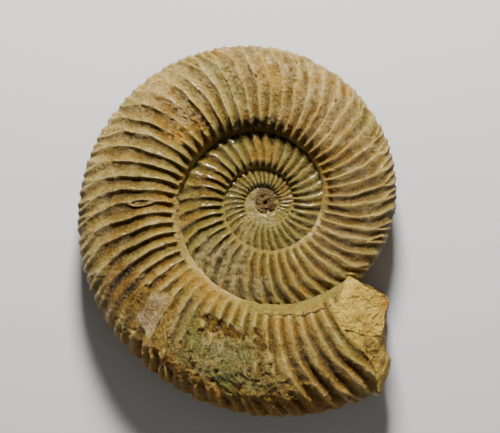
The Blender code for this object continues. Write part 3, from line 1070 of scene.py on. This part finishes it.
@dataclass
class Weathering:
    """Wears, breaks and stains the shown flank at named places, and the whole shell a little; some
    places paint shade or highlights.
    """

    places: Tuple[Place, ...] = PLACES
    seed: int = 11
    wear_depth: float = 0.14 * MM
    wear_size: float = 4.0 * MM
    grain_depth: float = 0.10 * MM
    grain_size: float = 1.6 * MM
    flakes: Scatter = Scatter(7.0 * MM, 0.22 * MM, 0.22, 0.07, 4, 0.5)
    chips: Scatter = Scatter(2.6 * MM, 0.14 * MM, 0.30, 0.10, 3, 0.8)
    bare_flakes: float = 0.3
    ragged_size: float = 4.0 * MM
    past_edge: float = 1.8
    shard_size: Spot = (3.2, 5.0, 100.0)
    flank_scale: float = 45.0
    side_scale: float = 9.0
    worn_groove: float = 0.24
    deepest_groove: float = 1.2
    mean_rounds: int = 6
    crack_depth: float = 0.2 * MM

    def __post_init__(self) -> None:
        """Draws the noise."""
        self.grain = Grain(self.seed)

    def mask(
        self, place: Place, course: np.ndarray, share: np.ndarray, points: np.ndarray
    ) -> np.ndarray:
        """How much each point lies in a place, with a ragged edge.

        Args:
            place: the place.
            course: the points' angles from the place's middle, along the ribs' course.
            share: the points' shares of the flank.
            points: the points, for the ragged edge.

        Returns:
            0 outside to 1 inside.
        """
        power = 5.0 if place.blocky else 2.0
        ragged = self.grain.rough(points + place.angle * MM, self.ragged_size, 4) * place.ragged
        along = np.abs(course / place.half_angle) ** power
        across = np.abs((share - place.share) / place.half_share) ** power
        return smooth_step((1.0 + ragged - (along + across) ** (1.0 / power)) / place.edge)

    def apply(self, points: MeshPoints, coil: Coil) -> None:
        """Moves the points and stores their stains.

        Args:
            points: the shell's points, in the coil's own frame.
            coil: the spiral's laws.
        """
        angle = points.read(RibbedWhorls.ANGLE)
        share = points.read(RibbedWhorls.SHARE)
        side = points.read(RibbedWhorls.SIDE)
        groove = points.read(RibbedWhorls.GROOVE)
        outward = points.read(RibbedWhorls.OUTWARD, 3)
        places = points.places.copy()
        stains = {stain: np.zeros(points.count) for stain in Stain if stain is not Stain.CRACK}
        left = np.ones(points.count)
        size = np.minimum(1.0, coil.rib_relief(angle) / coil.rib_relief(0.0))
        depth = size * self.wear_depth * (1.0 + self.grain.rough(places, self.wear_size))
        depth += size * self.grain_depth * self.grain.rough(places, self.grain_size)
        for scatter in (self.flakes, self.chips):
            depth += size * scatter.depth * scatter.loss(self.grain, places)
        lean = coil.rib_lean(share)
        flank = np.stack([angle - lean, share * self.flank_scale, side * self.side_scale], axis=1)
        for place in self.places:
            course = angle - lean + float(coil.rib_lean(place.share)) - place.angle
            near = (side > 0) & (np.abs(course) < self.past_edge * place.half_angle)
            near &= np.abs(share - place.share) < self.past_edge * place.half_share
            near = np.flatnonzero(near)
            if not len(near):
                continue
            here = places[near]
            mask = self.mask(place, course[near], share[near], here)
            left[near] *= 1.0 - place.ribs_lost * mask
            depth[near] = depth[near] * (1.0 - place.smooth * mask) + mask * place.depth
            if place.rough:
                depth[near] += mask * place.rough * self.grain.rough(here, place.grain, 4)
            if place.crags:
                depth[near] += mask * place.crags * self.grain.crags(here)
            if place.shards:
                depth[near] += mask * place.shards * self.grain.shards(flank[near], self.shard_size)
            for stain, amount in stains.items():
                if getattr(place, stain.value):
                    amount[near] = np.maximum(amount[near], mask * getattr(place, stain.value))
        flaked = self.bare_flakes * self.flakes.loss(self.grain, places)
        stains[Stain.STONE] = np.maximum(stains[Stain.STONE], flaked)
        lost = (1.0 - left) * groove * coil.rib_relief(angle)
        points.places = places + outward * (lost - depth)[:, None]
        worn = self.worn_groove * (1.0 - clamp(left))
        points.write(RibbedWhorls.GROOVE, groove * np.minimum(left, self.deepest_groove) + worn)
        hollows = points.hollows(outward, self.mean_rounds)
        # how far each point lies below its neighbours, darkening hollows and lightening standing
        # edges in the finish
        points.write(Stain.CRACK.value, hollows / self.crack_depth)
        for stain, amount in stains.items():
            points.write(stain.value, amount)
        points.place()


@dataclass(frozen=True)
class Rest:
    """How the fossil lies: tipped towards its thin side, its lowest ribs worn flat."""

    tip: float = 2.85
    towards: float = 110.5
    rib_wear: float = 0.6 * MM
    margin: float = 0.02 * MM

    def turned(self, places: np.ndarray) -> np.ndarray:
        """Turns points from the coil's frame to how the fossil lies."""
        axis_at = math.radians(self.towards + 90.0)
        axis = Vector((math.cos(axis_at), math.sin(axis_at), 0.0))
        turn = np.array(Matrix.Rotation(math.radians(self.tip), 3, axis))
        return places @ turn.T

    def shift(self, places: np.ndarray) -> np.ndarray:
        """The move that centres turned points over the frame's box and sinks the lowest ribs."""
        low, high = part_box(NODE)
        centre = (np.array(low) + np.array(high)) / 2.0
        middle = (places.min(axis=0) + places.max(axis=0)) / 2.0
        lift = -places[:, 2].min() - self.rib_wear
        return np.array((centre[0] - middle[0], centre[1] - middle[1], lift))

    def settle(self, points: MeshPoints, shift: np.ndarray) -> None:
        """Puts a piece's points in place, flat where it rests and inside the frame's box."""
        low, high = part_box(NODE)
        places = self.turned(points.places) + shift
        points.places = np.clip(places, np.array(low), np.array(high) - self.margin)
        points.place()


@dataclass(frozen=True)
class CoreFill:
    """The hardened mud that closes the middle of the spiral, with a small pit in it."""

    name: str = "core_fill"
    radius: float = 5.2 * MM
    at: Point = (0.2 * MM, 0.4 * MM)
    top: float = 2.6 * MM
    sag: float = 0.75 * MM
    pit_radius: float = 0.75 * MM
    pit_depth: float = 2.0 * MM
    pit_at: Point = (0.2 * MM, -0.8 * MM)
    roughness: float = 0.65 * MM
    grain: float = 1.4 * MM
    ragged: float = 0.12
    ragged_size: float = 2.5 * MM
    rings: int = 40
    spokes: int = 96
    seed: int = 31

    def make(self, material: bpy.types.Material) -> bpy.types.Object:
        """Builds the plug in the coil's own frame.

        Args:
            material: the finish of bare stone.

        Returns:
            The closed mesh object.
        """
        grain = Grain(self.seed)
        turns = np.linspace(0.0, 2.0 * math.pi, self.spokes, endpoint=False)
        loops = []
        for side in (1.0, -1.0):
            reach = np.linspace(0.0, 1.0, self.rings + 1)[1:]
            rim = self.radius * np.stack([np.cos(turns), np.sin(turns), 0.0 * turns], axis=1)
            rim *= 1.0 + self.ragged * grain.rough(rim, self.ragged_size)[:, None]
            x, y = (reach[:, None] * rim[:, axis] for axis in (0, 1))
            z = self.top - self.sag * reach[:, None] ** 2 + 0.0 * x
            flat = np.stack([x, y, z * side], axis=2).reshape(-1, 3)
            z = z + self.roughness * grain.rough(flat, self.grain).reshape(z.shape)
            away = np.hypot(x - self.pit_at[0], y - self.pit_at[1])
            z = z - self.pit_depth * smooth_step(1.0 - away / (2.0 * self.pit_radius))
            part = np.stack([x + self.at[0], y + self.at[1], side * z], axis=2)
            loops.append(part if side > 0 else part[::-1])
        return closed_sleeve(self.name, np.concatenate(loops), material)


@dataclass(frozen=True)
class Facet:
    """A flat of the broken stone: a point on it, and its rise along X and along Y."""

    spot: Spot
    along_x: float
    along_y: float

    def height(self, x: np.ndarray, y: np.ndarray) -> np.ndarray:
        """The flat's height over places in plan."""
        return self.spot[2] + self.along_x * (x - self.spot[0]) + self.along_y * (y - self.spot[1])


@dataclass(frozen=True)
class BrokenStone:
    """The stone laid bare at the mouth: flats on the shown side and the rough end face.

    Its plan is held as lines of (x, y) places that run from the umbilical corner to the outer
    corner; a section at each y is a closed loop over the flats, down the end face and back inside.
    """

    name: str = "mouth_stone"
    left_line: Tuple[Point, ...] = in_mm(
        (33.0, -29.2), (29.5, -38.9), (27.2, -41.3), (27.6, -45.3), (29.5, -49.3), (32.9, -53.0),
        (37.9, -56.4), (43.4, -64.6), (43.8, -70.0), (45.2, -76.4),
    )
    rim_line: Tuple[Point, ...] = in_mm(
        (33.4, -29.2), (38.7, -32.0), (44.3, -35.0), (47.6, -37.1), (48.8, -39.9), (47.2, -44.5),
        (47.0, -48.9), (45.6, -52.8), (45.0, -56.4), (44.4, -64.4), (44.6, -67.2), (44.9, -72.4),
        (45.6, -76.4),
    )
    girth_line: Tuple[Point, ...] = in_mm(
        (33.4, -29.2), (44.3, -35.0), (47.8, -37.1), (49.0, -39.9), (47.6, -44.5), (47.4, -48.9),
        (47.8, -53.6), (48.2, -58.4), (49.9, -62.0), (49.4, -67.6), (47.0, -71.6), (45.8, -76.4),
    )
    facets: Tuple[Facet, ...] = (
        Facet((31.5 * MM, -42.0 * MM, 20.2 * MM), -0.34, 0.05),
        Facet((38.0 * MM, -53.0 * MM, 18.7 * MM), -0.50, 0.34),
    )
    step_line: Tuple[Point, ...] = in_mm((30.0, -50.0), (34.7, -50.5), (39.9, -52.4), (46.0, -52.8))
    step: float = 0.38 * MM
    step_width: float = 0.5 * MM
    shard: float = 0.32 * MM
    shard_size: Spot = (5.0 * MM, 5.5 * MM, MM)
    shard_bend: float = 1.5 * MM
    bend_size: float = 5.0 * MM
    crack_ends: Tuple[Point, ...] = in_mm((42.8, -46.2), (45.2, -43.9))
    crack_width: float = 0.25 * MM
    crack_depth: float = 0.6 * MM
    rows: int = 170
    top_columns: int = 66
    face_columns: int = 90
    roughness: float = 0.35 * MM
    grain: float = 3.0 * MM
    sink: float = 1.2 * MM
    face_roughness: float = 1.6
    face_grain: float = 1.4
    lowered: float = 0.2 * MM
    foot_rise: float = 0.8 * MM
    belly: float = 0.7
    settled_over: float = 0.08
    rounded_over: float = 0.1
    rusty_corner: Spot = (48.8 * MM, -38.5 * MM, 13.0 * MM)
    rusty_reach: float = 3.4 * MM
    rusty_most: float = 1.8
    rusty_scatter: float = 0.5
    rusty_grain: float = 2.0 * MM
    shaded_above: float = 12.0 * MM
    shade_width: float = 1.5 * MM
    seed: int = 23

    @staticmethod
    def _x_at(line: Sequence[Point], y: np.ndarray) -> np.ndarray:
        """The x of a line at each y."""
        return np.interp(-y, [-place[1] for place in line], [place[0] for place in line])

    def crack(self, x: np.ndarray, y: np.ndarray) -> np.ndarray:
        """How near places in plan are to the crack, from 0 to 1 in it."""
        first, second = np.array(self.crack_ends)
        run = second - first
        along = clamp(((x - first[0]) * run[0] + (y - first[1]) * run[1]) / (run @ run))
        away = np.hypot(x - first[0] - along * run[0], y - first[1] - along * run[1])
        return np.exp(-((away / self.crack_width) ** 2))

    def shell_height(
        self, coil: Coil, section: Section, x: np.ndarray, y: np.ndarray
    ) -> np.ndarray:
        """The height of the shown flank's rib crests over places in plan, near the mouth.

        Args:
            coil: the spiral's laws.
            section: the form of the flanks.
            x: the places' x.
            y: the places' y.

        Returns:
            The height at each place, 0 outside the whorl.
        """
        angle = np.degrees(np.arctan2(y, x)) + WHORL
        share = coil.share_at(angle, np.hypot(x, y))
        outer = share > section.widest_share
        power = np.where(outer, section.venter_roundness, section.shoulder_roundness)
        span = np.where(outer, 1.0 - section.widest_share, section.widest_share + section.seam_tuck)
        across = clamp(np.abs(share - section.widest_share) / span)
        return coil.half_breadth(angle) * (1.0 - across**power) ** (1.0 / power)

    def top(self, coil: Coil, section: Section, x: np.ndarray, y: np.ndarray) -> np.ndarray:
        """The height of the bared stone over places in plan."""
        height = self.shell_height(coil, section, x, y)
        for facet in self.facets:
            height = np.minimum(height, facet.height(x, y))
        return height - self.step * smooth_step(self.below(x, y) / self.step_width)

    def below(self, x: np.ndarray, y: np.ndarray) -> np.ndarray:
        """How far places in plan lie beyond the step between the two flats."""
        return np.interp(x, *zip(*self.step_line)) - y

    def bury(self, points: MeshPoints, coil: Coil, section: Section) -> None:
        """Sinks the shell's points that lie under the bared stone.

        Args:
            points: the last whorl's points, in the coil's own frame.
            coil: the spiral's laws.
            section: the form of the flanks.
        """
        x, y, z = points.places.T
        last = points.read(RibbedWhorls.ANGLE) > 250.0
        inside = last & (z > 0) & (x > self._x_at(self.left_line, y)) & (y < self.left_line[0][1])
        lowered = np.minimum(z, self.top(coil, section, x, y) - self.sink)
        points.places[:, 2] = np.where(inside, lowered, z)
        points.place()

    def make(self, coil: Coil, section: Section, material: bpy.types.Material) -> bpy.types.Object:
        """Builds the stone in the coil's own frame.

        Args:
            coil: the spiral's laws.
            section: the form of the flanks.
            material: the finish of bare stone.

        Returns:
            The closed mesh object.
        """
        grain = Grain(self.seed)
        ys = np.linspace(self.left_line[0][1], self.left_line[-1][1], self.rows)
        over = np.linspace(0.0, 1.0, self.top_columns)
        down = np.linspace(0.0, 1.0, self.face_columns)[1:]
        lines = (self.left_line, self.rim_line, self.girth_line)
        left, rim, girth = (self._x_at(line, ys) for line in lines)
        top_x = left[:, None] + (rim - left)[:, None] * over
        top_y = np.repeat(ys[:, None], len(over), axis=1)
        top_z = self.top(coil, section, top_x, top_y)
        rim_z = top_z[:, -1:]
        foot_z = -np.maximum(self.shell_height(coil, section, rim, ys), 0.0)[:, None]
        foot_z = foot_z + self.foot_rise
        face_z = rim_z + (foot_z - rim_z) * down
        belly = np.sin(np.pi * down) ** self.belly
        face_x = rim[:, None] + (girth - rim)[:, None] * belly
        face_y = np.repeat(ys[:, None], len(down), axis=1)
        top = np.stack([top_x, top_y, top_z], axis=2)
        face = np.stack([face_x, face_y, face_z], axis=2)
        bottom_corner = np.stack([left, ys, foot_z[:, 0]], axis=1)[:, None, :]
        top_rough = self.roughness * grain.rough(top.reshape(-1, 3), self.grain, 4)
        top_rough = top_rough.reshape(top_z.shape)
        flat = top.reshape(-1, 3) * np.array((1.0, 1.0, 0.0))
        bent = flat + self.shard_bend * grain.rough(flat, self.bend_size, 2)[:, None]
        top_rough += self.shard * (grain.shards(bent, self.shard_size) - 0.5).reshape(top_z.shape)
        top_rough -= self.crack_depth * self.crack(top_x, top_y)
        face_rough = grain.rough(face.reshape(-1, 3), self.face_grain * self.grain, 4)
        face_rough = self.face_roughness * self.roughness * face_rough.reshape(face_z.shape)
        settle = smooth_step(over / self.settled_over)
        top[:, :, 2] += (top_rough - self.roughness) * settle - self.lowered
        face[:, :, 0] += face_rough * smooth_step(down / self.rounded_over)
        loops = np.concatenate([top, face, bottom_corner], axis=1)
        stone = closed_sleeve(self.name, loops, material)
        points = MeshPoints(stone.data)
        corner = np.array(self.rusty_corner)
        away = np.linalg.norm(points.places - corner, axis=1) / self.rusty_reach
        uneven = 1.0 + self.rusty_scatter * grain.rough(points.places, self.rusty_grain)
        rust = self.rusty_most * np.exp(-away) * uneven
        points.write(Stain.RUST.value, clamp(rust))
        x, y, z = points.places.T
        shade = smooth_step(self.below(x, y) / self.shade_width) * (z > self.shaded_above)
        points.write(Stain.DARK.value, shade)
        return stone


class Finish:
    """What the finishes of the fossil share: a material, its graph and its common patterns."""

    relief = 2.2 * MM

    def __init__(self, name: str) -> None:
        """Adds a material.

        Args:
            name: the material's name.
        """
        self.material = bpy.data.materials.new(name)
        self.material.use_nodes = True
        self.graph = Graph(self.material.node_tree)
        self.shader = self.material.node_tree.nodes["Principled BSDF"]
        self.place = self.graph.node("ShaderNodeTexCoord", output="Object")

    def noise(
        self, size: float, detail: float = 4.0, roughness: float = 0.55, warp: float = 0.0
    ) -> Signal:
        """Noise with lumps of a size, from about 0.2 to 0.8."""
        inputs = {"Scale": 1.0 / size, "Detail": detail, "Roughness": roughness, "Distortion": warp}
        return self.graph.node("ShaderNodeTexNoise", {"Vector": self.place, **inputs})

    def bump(self, height: Signal) -> Signal:
        """Fine relief too small for the mesh."""
        inputs = {"Strength": 1.0, "Distance": self.relief, "Height": height}
        return self.graph.node("ShaderNodeBump", inputs)

    def fact(self, name: str) -> Signal:
        """A value that the mesh stores on its points."""
        settings = {"attribute_name": name}
        return self.graph.node("ShaderNodeAttribute", settings=settings, output="Fac")

    def set(self, **sockets: Any) -> None:
        """Links or sets the shader's sockets, named with underscores for spaces."""
        for name, value in sockets.items():
            socket = self.shader.inputs[name.replace("_", " ")]
            if isinstance(value, Signal):
                self.graph.tree.links.new(value.socket, socket)
            else:
                socket.default_value = value


@dataclass(frozen=True)
class ShellFinish:
    """The finish of the fossil shell: ochre, dirty in the grooves, polished on the ribs and with a
    painted highlight along the rib crests.
    """

    name: str = "fossil_shell"
    ochre: Colour = (0.35, 0.195, 0.030)
    straw: Colour = (0.62, 0.44, 0.110)
    olive: Colour = (0.25, 0.195, 0.035)
    rust: Colour = (0.47, 0.195, 0.010)
    brown: Colour = (0.078, 0.032, 0.002)
    soot: Colour = (0.036, 0.024, 0.011)
    moss: Colour = (0.155, 0.172, 0.028)
    chalk: Colour = (0.68, 0.52, 0.24)
    lilac: Colour = (0.53, 0.39, 0.20)

    def make(self) -> bpy.types.Material:
        """Builds the material.

        Returns:
            The material, its colours following the ribs and the stains.
        """
        finish = Finish(self.name)
        ramp = finish.graph.ramp
        groove, angle = finish.fact(RibbedWhorls.GROOVE), finish.fact(RibbedWhorls.ANGLE)
        green, rusty, pale, dark, bare, cast, crack = (finish.fact(stain.value) for stain in Stain)
        broad = finish.noise(24.0 * MM, 3.0)
        cloud = finish.noise(8.0 * MM, 5.0, 0.62, 0.6)
        fleck = finish.noise(2.2 * MM, 8.0, 0.78, 0.3)
        fine = finish.noise(0.9 * MM, 5.0, 0.8)
        # crest: where a pale line is painted along each rib crest, partly worn shell and partly a
        # painted highlight
        crest = (1.0 - ramp(groove, 0.0, 0.11)) * ramp(cloud * 0.5 + fleck * 0.5, 0.42, 0.54)
        hollow = ramp(groove + (fleck - 0.5) * 0.7, 0.30, 0.98)
        flaked = bare * ramp(fleck + fine * 0.5, 0.82, 0.70)
        rusty = rusty * (0.5 + ramp(fleck * 0.6 + cloud, 0.70, 0.90) * 0.5) * (1.0 - hollow * 0.45)
        mossy = green * ramp(cloud * 0.6 + fleck * 0.5, 0.45, 0.57)
        mottled = cast * (0.35 + ramp(cloud * 0.4 + fleck * 0.6, 0.45, 0.54) * 0.60)
        sooty = dark * ramp(groove * 0.7 + fleck * 0.5 + cloud * 2.0, 1.50, 2.0)
        edge = ramp(crack, -0.25, -1.4) * (1.0 - bare * 0.7) * (1.0 - dark * 0.75)
        layers = (
            (ramp(broad, 0.40, 0.60), self.olive),
            (ramp(cloud, 0.46, 0.62) * 0.55, self.straw),
            (ramp(cloud, 0.47, 0.38) * 0.35, self.rust),
            ((1.0 - ramp(groove, 0.10, 0.45)) * 0.4, self.straw),
            # painted highlight along the rib crests, partly worn pale shell
            (crest * 0.85, self.chalk),
            (hollow * 0.82, self.brown),
            (bare * 0.2, self.straw),
            (flaked * 0.9, self.brown),
            # the dark value: real brown stains, and painted shade where a place stands for the
            # shade under an overhang
            (dark * 0.85, self.brown),
            (rusty, self.rust),
            (mossy, self.moss),
            (pale * ramp(fleck, 0.40, 0.54) * 0.9, self.chalk),
            (mottled, self.lilac),
            (sooty, self.soot),
            # darker where the surface lies below its neighbours, paler on edges that stand above
            # them
            (ramp(crack, 0.15, 1.2) * 0.85, self.brown),
            (edge * 0.6, self.straw),
            (ramp(fine, 0.51, 0.62) * 0.3, self.straw),
            (ramp(fine, 0.46, 0.36) * 0.6, self.brown),
        )
        rough = 0.20 + ramp(fleck, 0.42, 0.60) * 0.3 + ramp(groove, 0.2, 0.8) * 0.1 + bare * 0.35
        inner, right = ramp(angle, -20.0, -60.0), ramp(angle, 60.0, 20.0)
        glossy = ramp(fleck + inner * 0.05, 0.45, 0.56) * (inner * 0.40 + right * 0.35 + 0.25)
        shine = (1.0 - bare) * (1.0 - cast) * (1.0 - ramp(groove, 0.05, 0.30)) * glossy
        finish.set(
            Base_Color=finish.graph.layered(self.ochre, layers),
            Roughness=rough,
            Normal=finish.bump((fleck * 1.2 + fine) * (bare * 0.7 + 1.0)),
            Coat_Weight=shine,
            Coat_Roughness=0.15,
            Specular_IOR_Level=0.22,
        )
        return finish.material


@dataclass(frozen=True)
class StoneFinish:
    """The finish of the bare stone at the mouth."""

    name: str = "bare_stone"
    tan: Colour = (0.43, 0.25, 0.035)
    straw: Colour = (0.68, 0.47, 0.085)
    rust: Colour = (0.42, 0.19, 0.025)
    brown: Colour = (0.14, 0.07, 0.012)

    def make(self) -> bpy.types.Material:
        """Builds the material.

        Returns:
            The material.
        """
        finish = Finish(self.name)
        ramp = finish.graph.ramp
        rusty, dark = finish.fact(Stain.RUST.value), finish.fact(Stain.DARK.value)
        cloud = finish.noise(9.0 * MM, 5.0, 0.6, 0.6)
        fleck = finish.noise(1.8 * MM, 6.0, 0.7, 0.4)
        fine = finish.noise(0.7 * MM, 4.0, 0.7)
        layers = (
            (ramp(cloud, 0.36, 0.62), self.straw),
            (clamp(ramp(cloud, 0.54, 0.62) * 0.5 + rusty), self.rust),
            (ramp(fleck, 0.48, 0.38) * 0.5, self.brown),
            # painted shade below the step between the two flats, with real brown stains
            (dark * (0.15 + ramp(cloud * 0.5 + fleck * 0.5, 0.53, 0.46) * 0.45), self.brown),
            (ramp(fine, 0.46, 0.38) * 0.45, self.brown),
            (ramp(fine, 0.53, 0.62) * 0.4, self.straw),
        )
        finish.set(
            Base_Color=finish.graph.layered(self.tan, layers),
            Roughness=0.62 + ramp(fine, 0.3, 0.7) * 0.2,
            Normal=finish.bump(fleck + fine * 0.6),
            Specular_IOR_Level=0.25,
        )
        return finish.material


@dataclass
class Fossil:
    """The whole fossil: two stretches of ribbed tube, the broken stone and the core."""

    coil: Coil = Coil()
    section: Section = Section()
    mouth: Mouth = Mouth()
    rest: Rest = Rest()
    stone: BrokenStone = BrokenStone()
    core: CoreFill = CoreFill()
    shell: ShellFinish = ShellFinish()
    bare: StoneFinish = StoneFinish()
    mud: StoneFinish = StoneFinish(
        name="packed_mud",
        tan=(0.065, 0.032, 0.006),
        straw=(0.17, 0.11, 0.03),
        rust=(0.08, 0.032, 0.004),
        brown=(0.014, 0.006, 0.002),
    )
    weathering: Weathering = field(default_factory=Weathering)
    seed: float = 3.0
    outer: Stretch = Stretch(
        name="outer_whorl",
        first_rib=-1.4,
        last_rib=58.0,
        columns=490,
        rows=200,
        shown_rows=0.64,
        bands=(0.05, 0.32, 0.80),
        start_dome=0.9,
        end_dome=0.5,
        cut_at_mouth=True,
    )
    outer_parts: int = 3
    inner: Stretch = Stretch(
        name="inner_whorls",
        first_rib=-122.0,
        last_rib=0.4,
        columns=830,
        rows=84,
        shown_rows=0.56,
        bands=(0.06, 0.42, 0.92),
        start_dome=4.0,
        end_dome=0.9,
        cut_at_mouth=False,
    )
    inner_parts: int = 2

    def build(self) -> List[bpy.types.Object]:
        """Builds, wears and places the pieces.

        Returns:
            The finished pieces.
        """
        shell, bare, mud = self.shell.make(), self.bare.make(), self.mud.make()
        whorls = RibbedWhorls(self.section, self.mouth)
        stretches = [*self.outer.parts(self.outer_parts), *self.inner.parts(self.inner_parts)]
        pieces = [whorls.make(stretch, self.coil, self.seed, shell) for stretch in stretches]
        tubes = [MeshPoints(piece.data) for piece in pieces]
        last_whorl = tubes[: self.outer_parts]
        shell_places = np.concatenate([tube.places for tube in last_whorl])
        shift = self.rest.shift(self.rest.turned(shell_places))
        LOG.info("coil axis stands at %s mm", np.round(shift / MM, 2))
        for stretch, tube in zip(stretches, tubes):
            for joint in stretch.joints:
                tube.crease(RibbedWhorls.RIB, joint, 1e-3)
            self.weathering.apply(tube, self.coil)
        self.stone.bury(last_whorl[-1], self.coil, self.section)
        pieces += [self.stone.make(self.coil, self.section, bare), self.core.make(mud)]
        for piece in pieces:
            self.rest.settle(MeshPoints(piece.data), shift)
            piece.data.shade_smooth()
            triangles = sum(len(face.vertices) - 2 for face in piece.data.polygons)
            LOG.info("%s: %d triangles", piece.name, triangles)
        return pieces


@dataclass(frozen=True)
class Lamp:
    """A soft square lamp that points at the fossil: its place, its side and its power in watts."""

    name: str
    place: Spot
    side: float
    power: float

    def add(self) -> None:
        """Adds the lamp to the scene."""
        light = bpy.data.lights.new(self.name, "AREA")
        light.size = self.side
        light.energy = self.power
        stand = add_object(self.name, light)
        stand.location = self.place
        stand.rotation_euler = (-Vector(self.place)).to_track_quat("-Z", "Y").to_euler()


@dataclass(frozen=True)
class Studio:
    """The camera, the floor and the lights."""

    frame_width: float = 197.0 * MM
    distance: float = 0.9
    sensor: float = 36.0
    aim: Spot = (5.4 * MM, 5.6 * MM, 26.0 * MM)
    towards_x: float = 1.5
    floor_side: float = 3.0
    floor_colour: Colour = (0.46, 0.45, 0.435)
    floor_roughness: float = 0.8
    lamps: Tuple[Lamp, ...] = (
        Lamp("key", (0.01, 0.62, 0.48), 0.16, 23.6),
        Lamp("low", (-0.18, -0.62, 0.14), 0.24, 0.8),
        Lamp("fill", (0.2, -0.1, 0.9), 0.8, 0.9),
    )
    world_light: float = 0.06

    def camera(self) -> None:
        """Adds the camera, which looks down on the shown flank."""
        lens = bpy.data.cameras.new("camera")
        lens.sensor_width = self.sensor
        lens.lens = self.sensor * self.distance / self.frame_width
        camera = add_object("camera", lens)
        lean = math.radians(self.towards_x)
        back = Vector((math.sin(lean), 0.0, math.cos(lean)))
        right = Vector((math.cos(lean), 0.0, -math.sin(lean)))
        up = back.cross(right)
        turn = Matrix((right, up, back)).transposed()
        place = Vector(self.aim) + back * self.distance
        camera.matrix_world = Matrix.Translation(place) @ turn.to_4x4()
        bpy.context.scene.camera = camera

    def floor(self) -> bpy.types.Object:
        """Adds the plain pale floor."""
        mesh = bpy.data.meshes.new("floor")
        half = self.floor_side / 2.0
        corners = [(-half, -half, 0.0), (half, -half, 0.0), (half, half, 0.0), (-half, half, 0.0)]
        mesh.from_pydata(corners, [], [(0, 1, 2, 3)])
        material = bpy.data.materials.new("pale_floor")
        material.use_nodes = True
        shader = material.node_tree.nodes["Principled BSDF"]
        shader.inputs["Base Color"].default_value = (*self.floor_colour, 1.0)
        shader.inputs["Roughness"].default_value = self.floor_roughness
        mesh.materials.append(material)
        return add_object("floor", mesh)

    def build(self) -> None:
        """Adds everything round the fossil."""
        self.camera()
        self.floor()
        for lamp in self.lamps:
            lamp.add()
        world = bpy.data.worlds.new("studio")
        world.use_nodes = True
        sky = world.node_tree.nodes["Background"]
        sky.inputs["Color"].default_value = (1.0, 1.0, 1.0, 1.0)
        sky.inputs["Strength"].default_value = self.world_light
        bpy.context.scene.world = world


def main() -> None:
    """Builds the studio and the fossil."""
    logging.basicConfig(level=logging.INFO, format="%(name)s: %(message)s")
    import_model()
    Studio().build()
    for piece in Fossil().build():
        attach(piece, BODY)
        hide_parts(NODE)


if __name__ == "__main__":
    main()
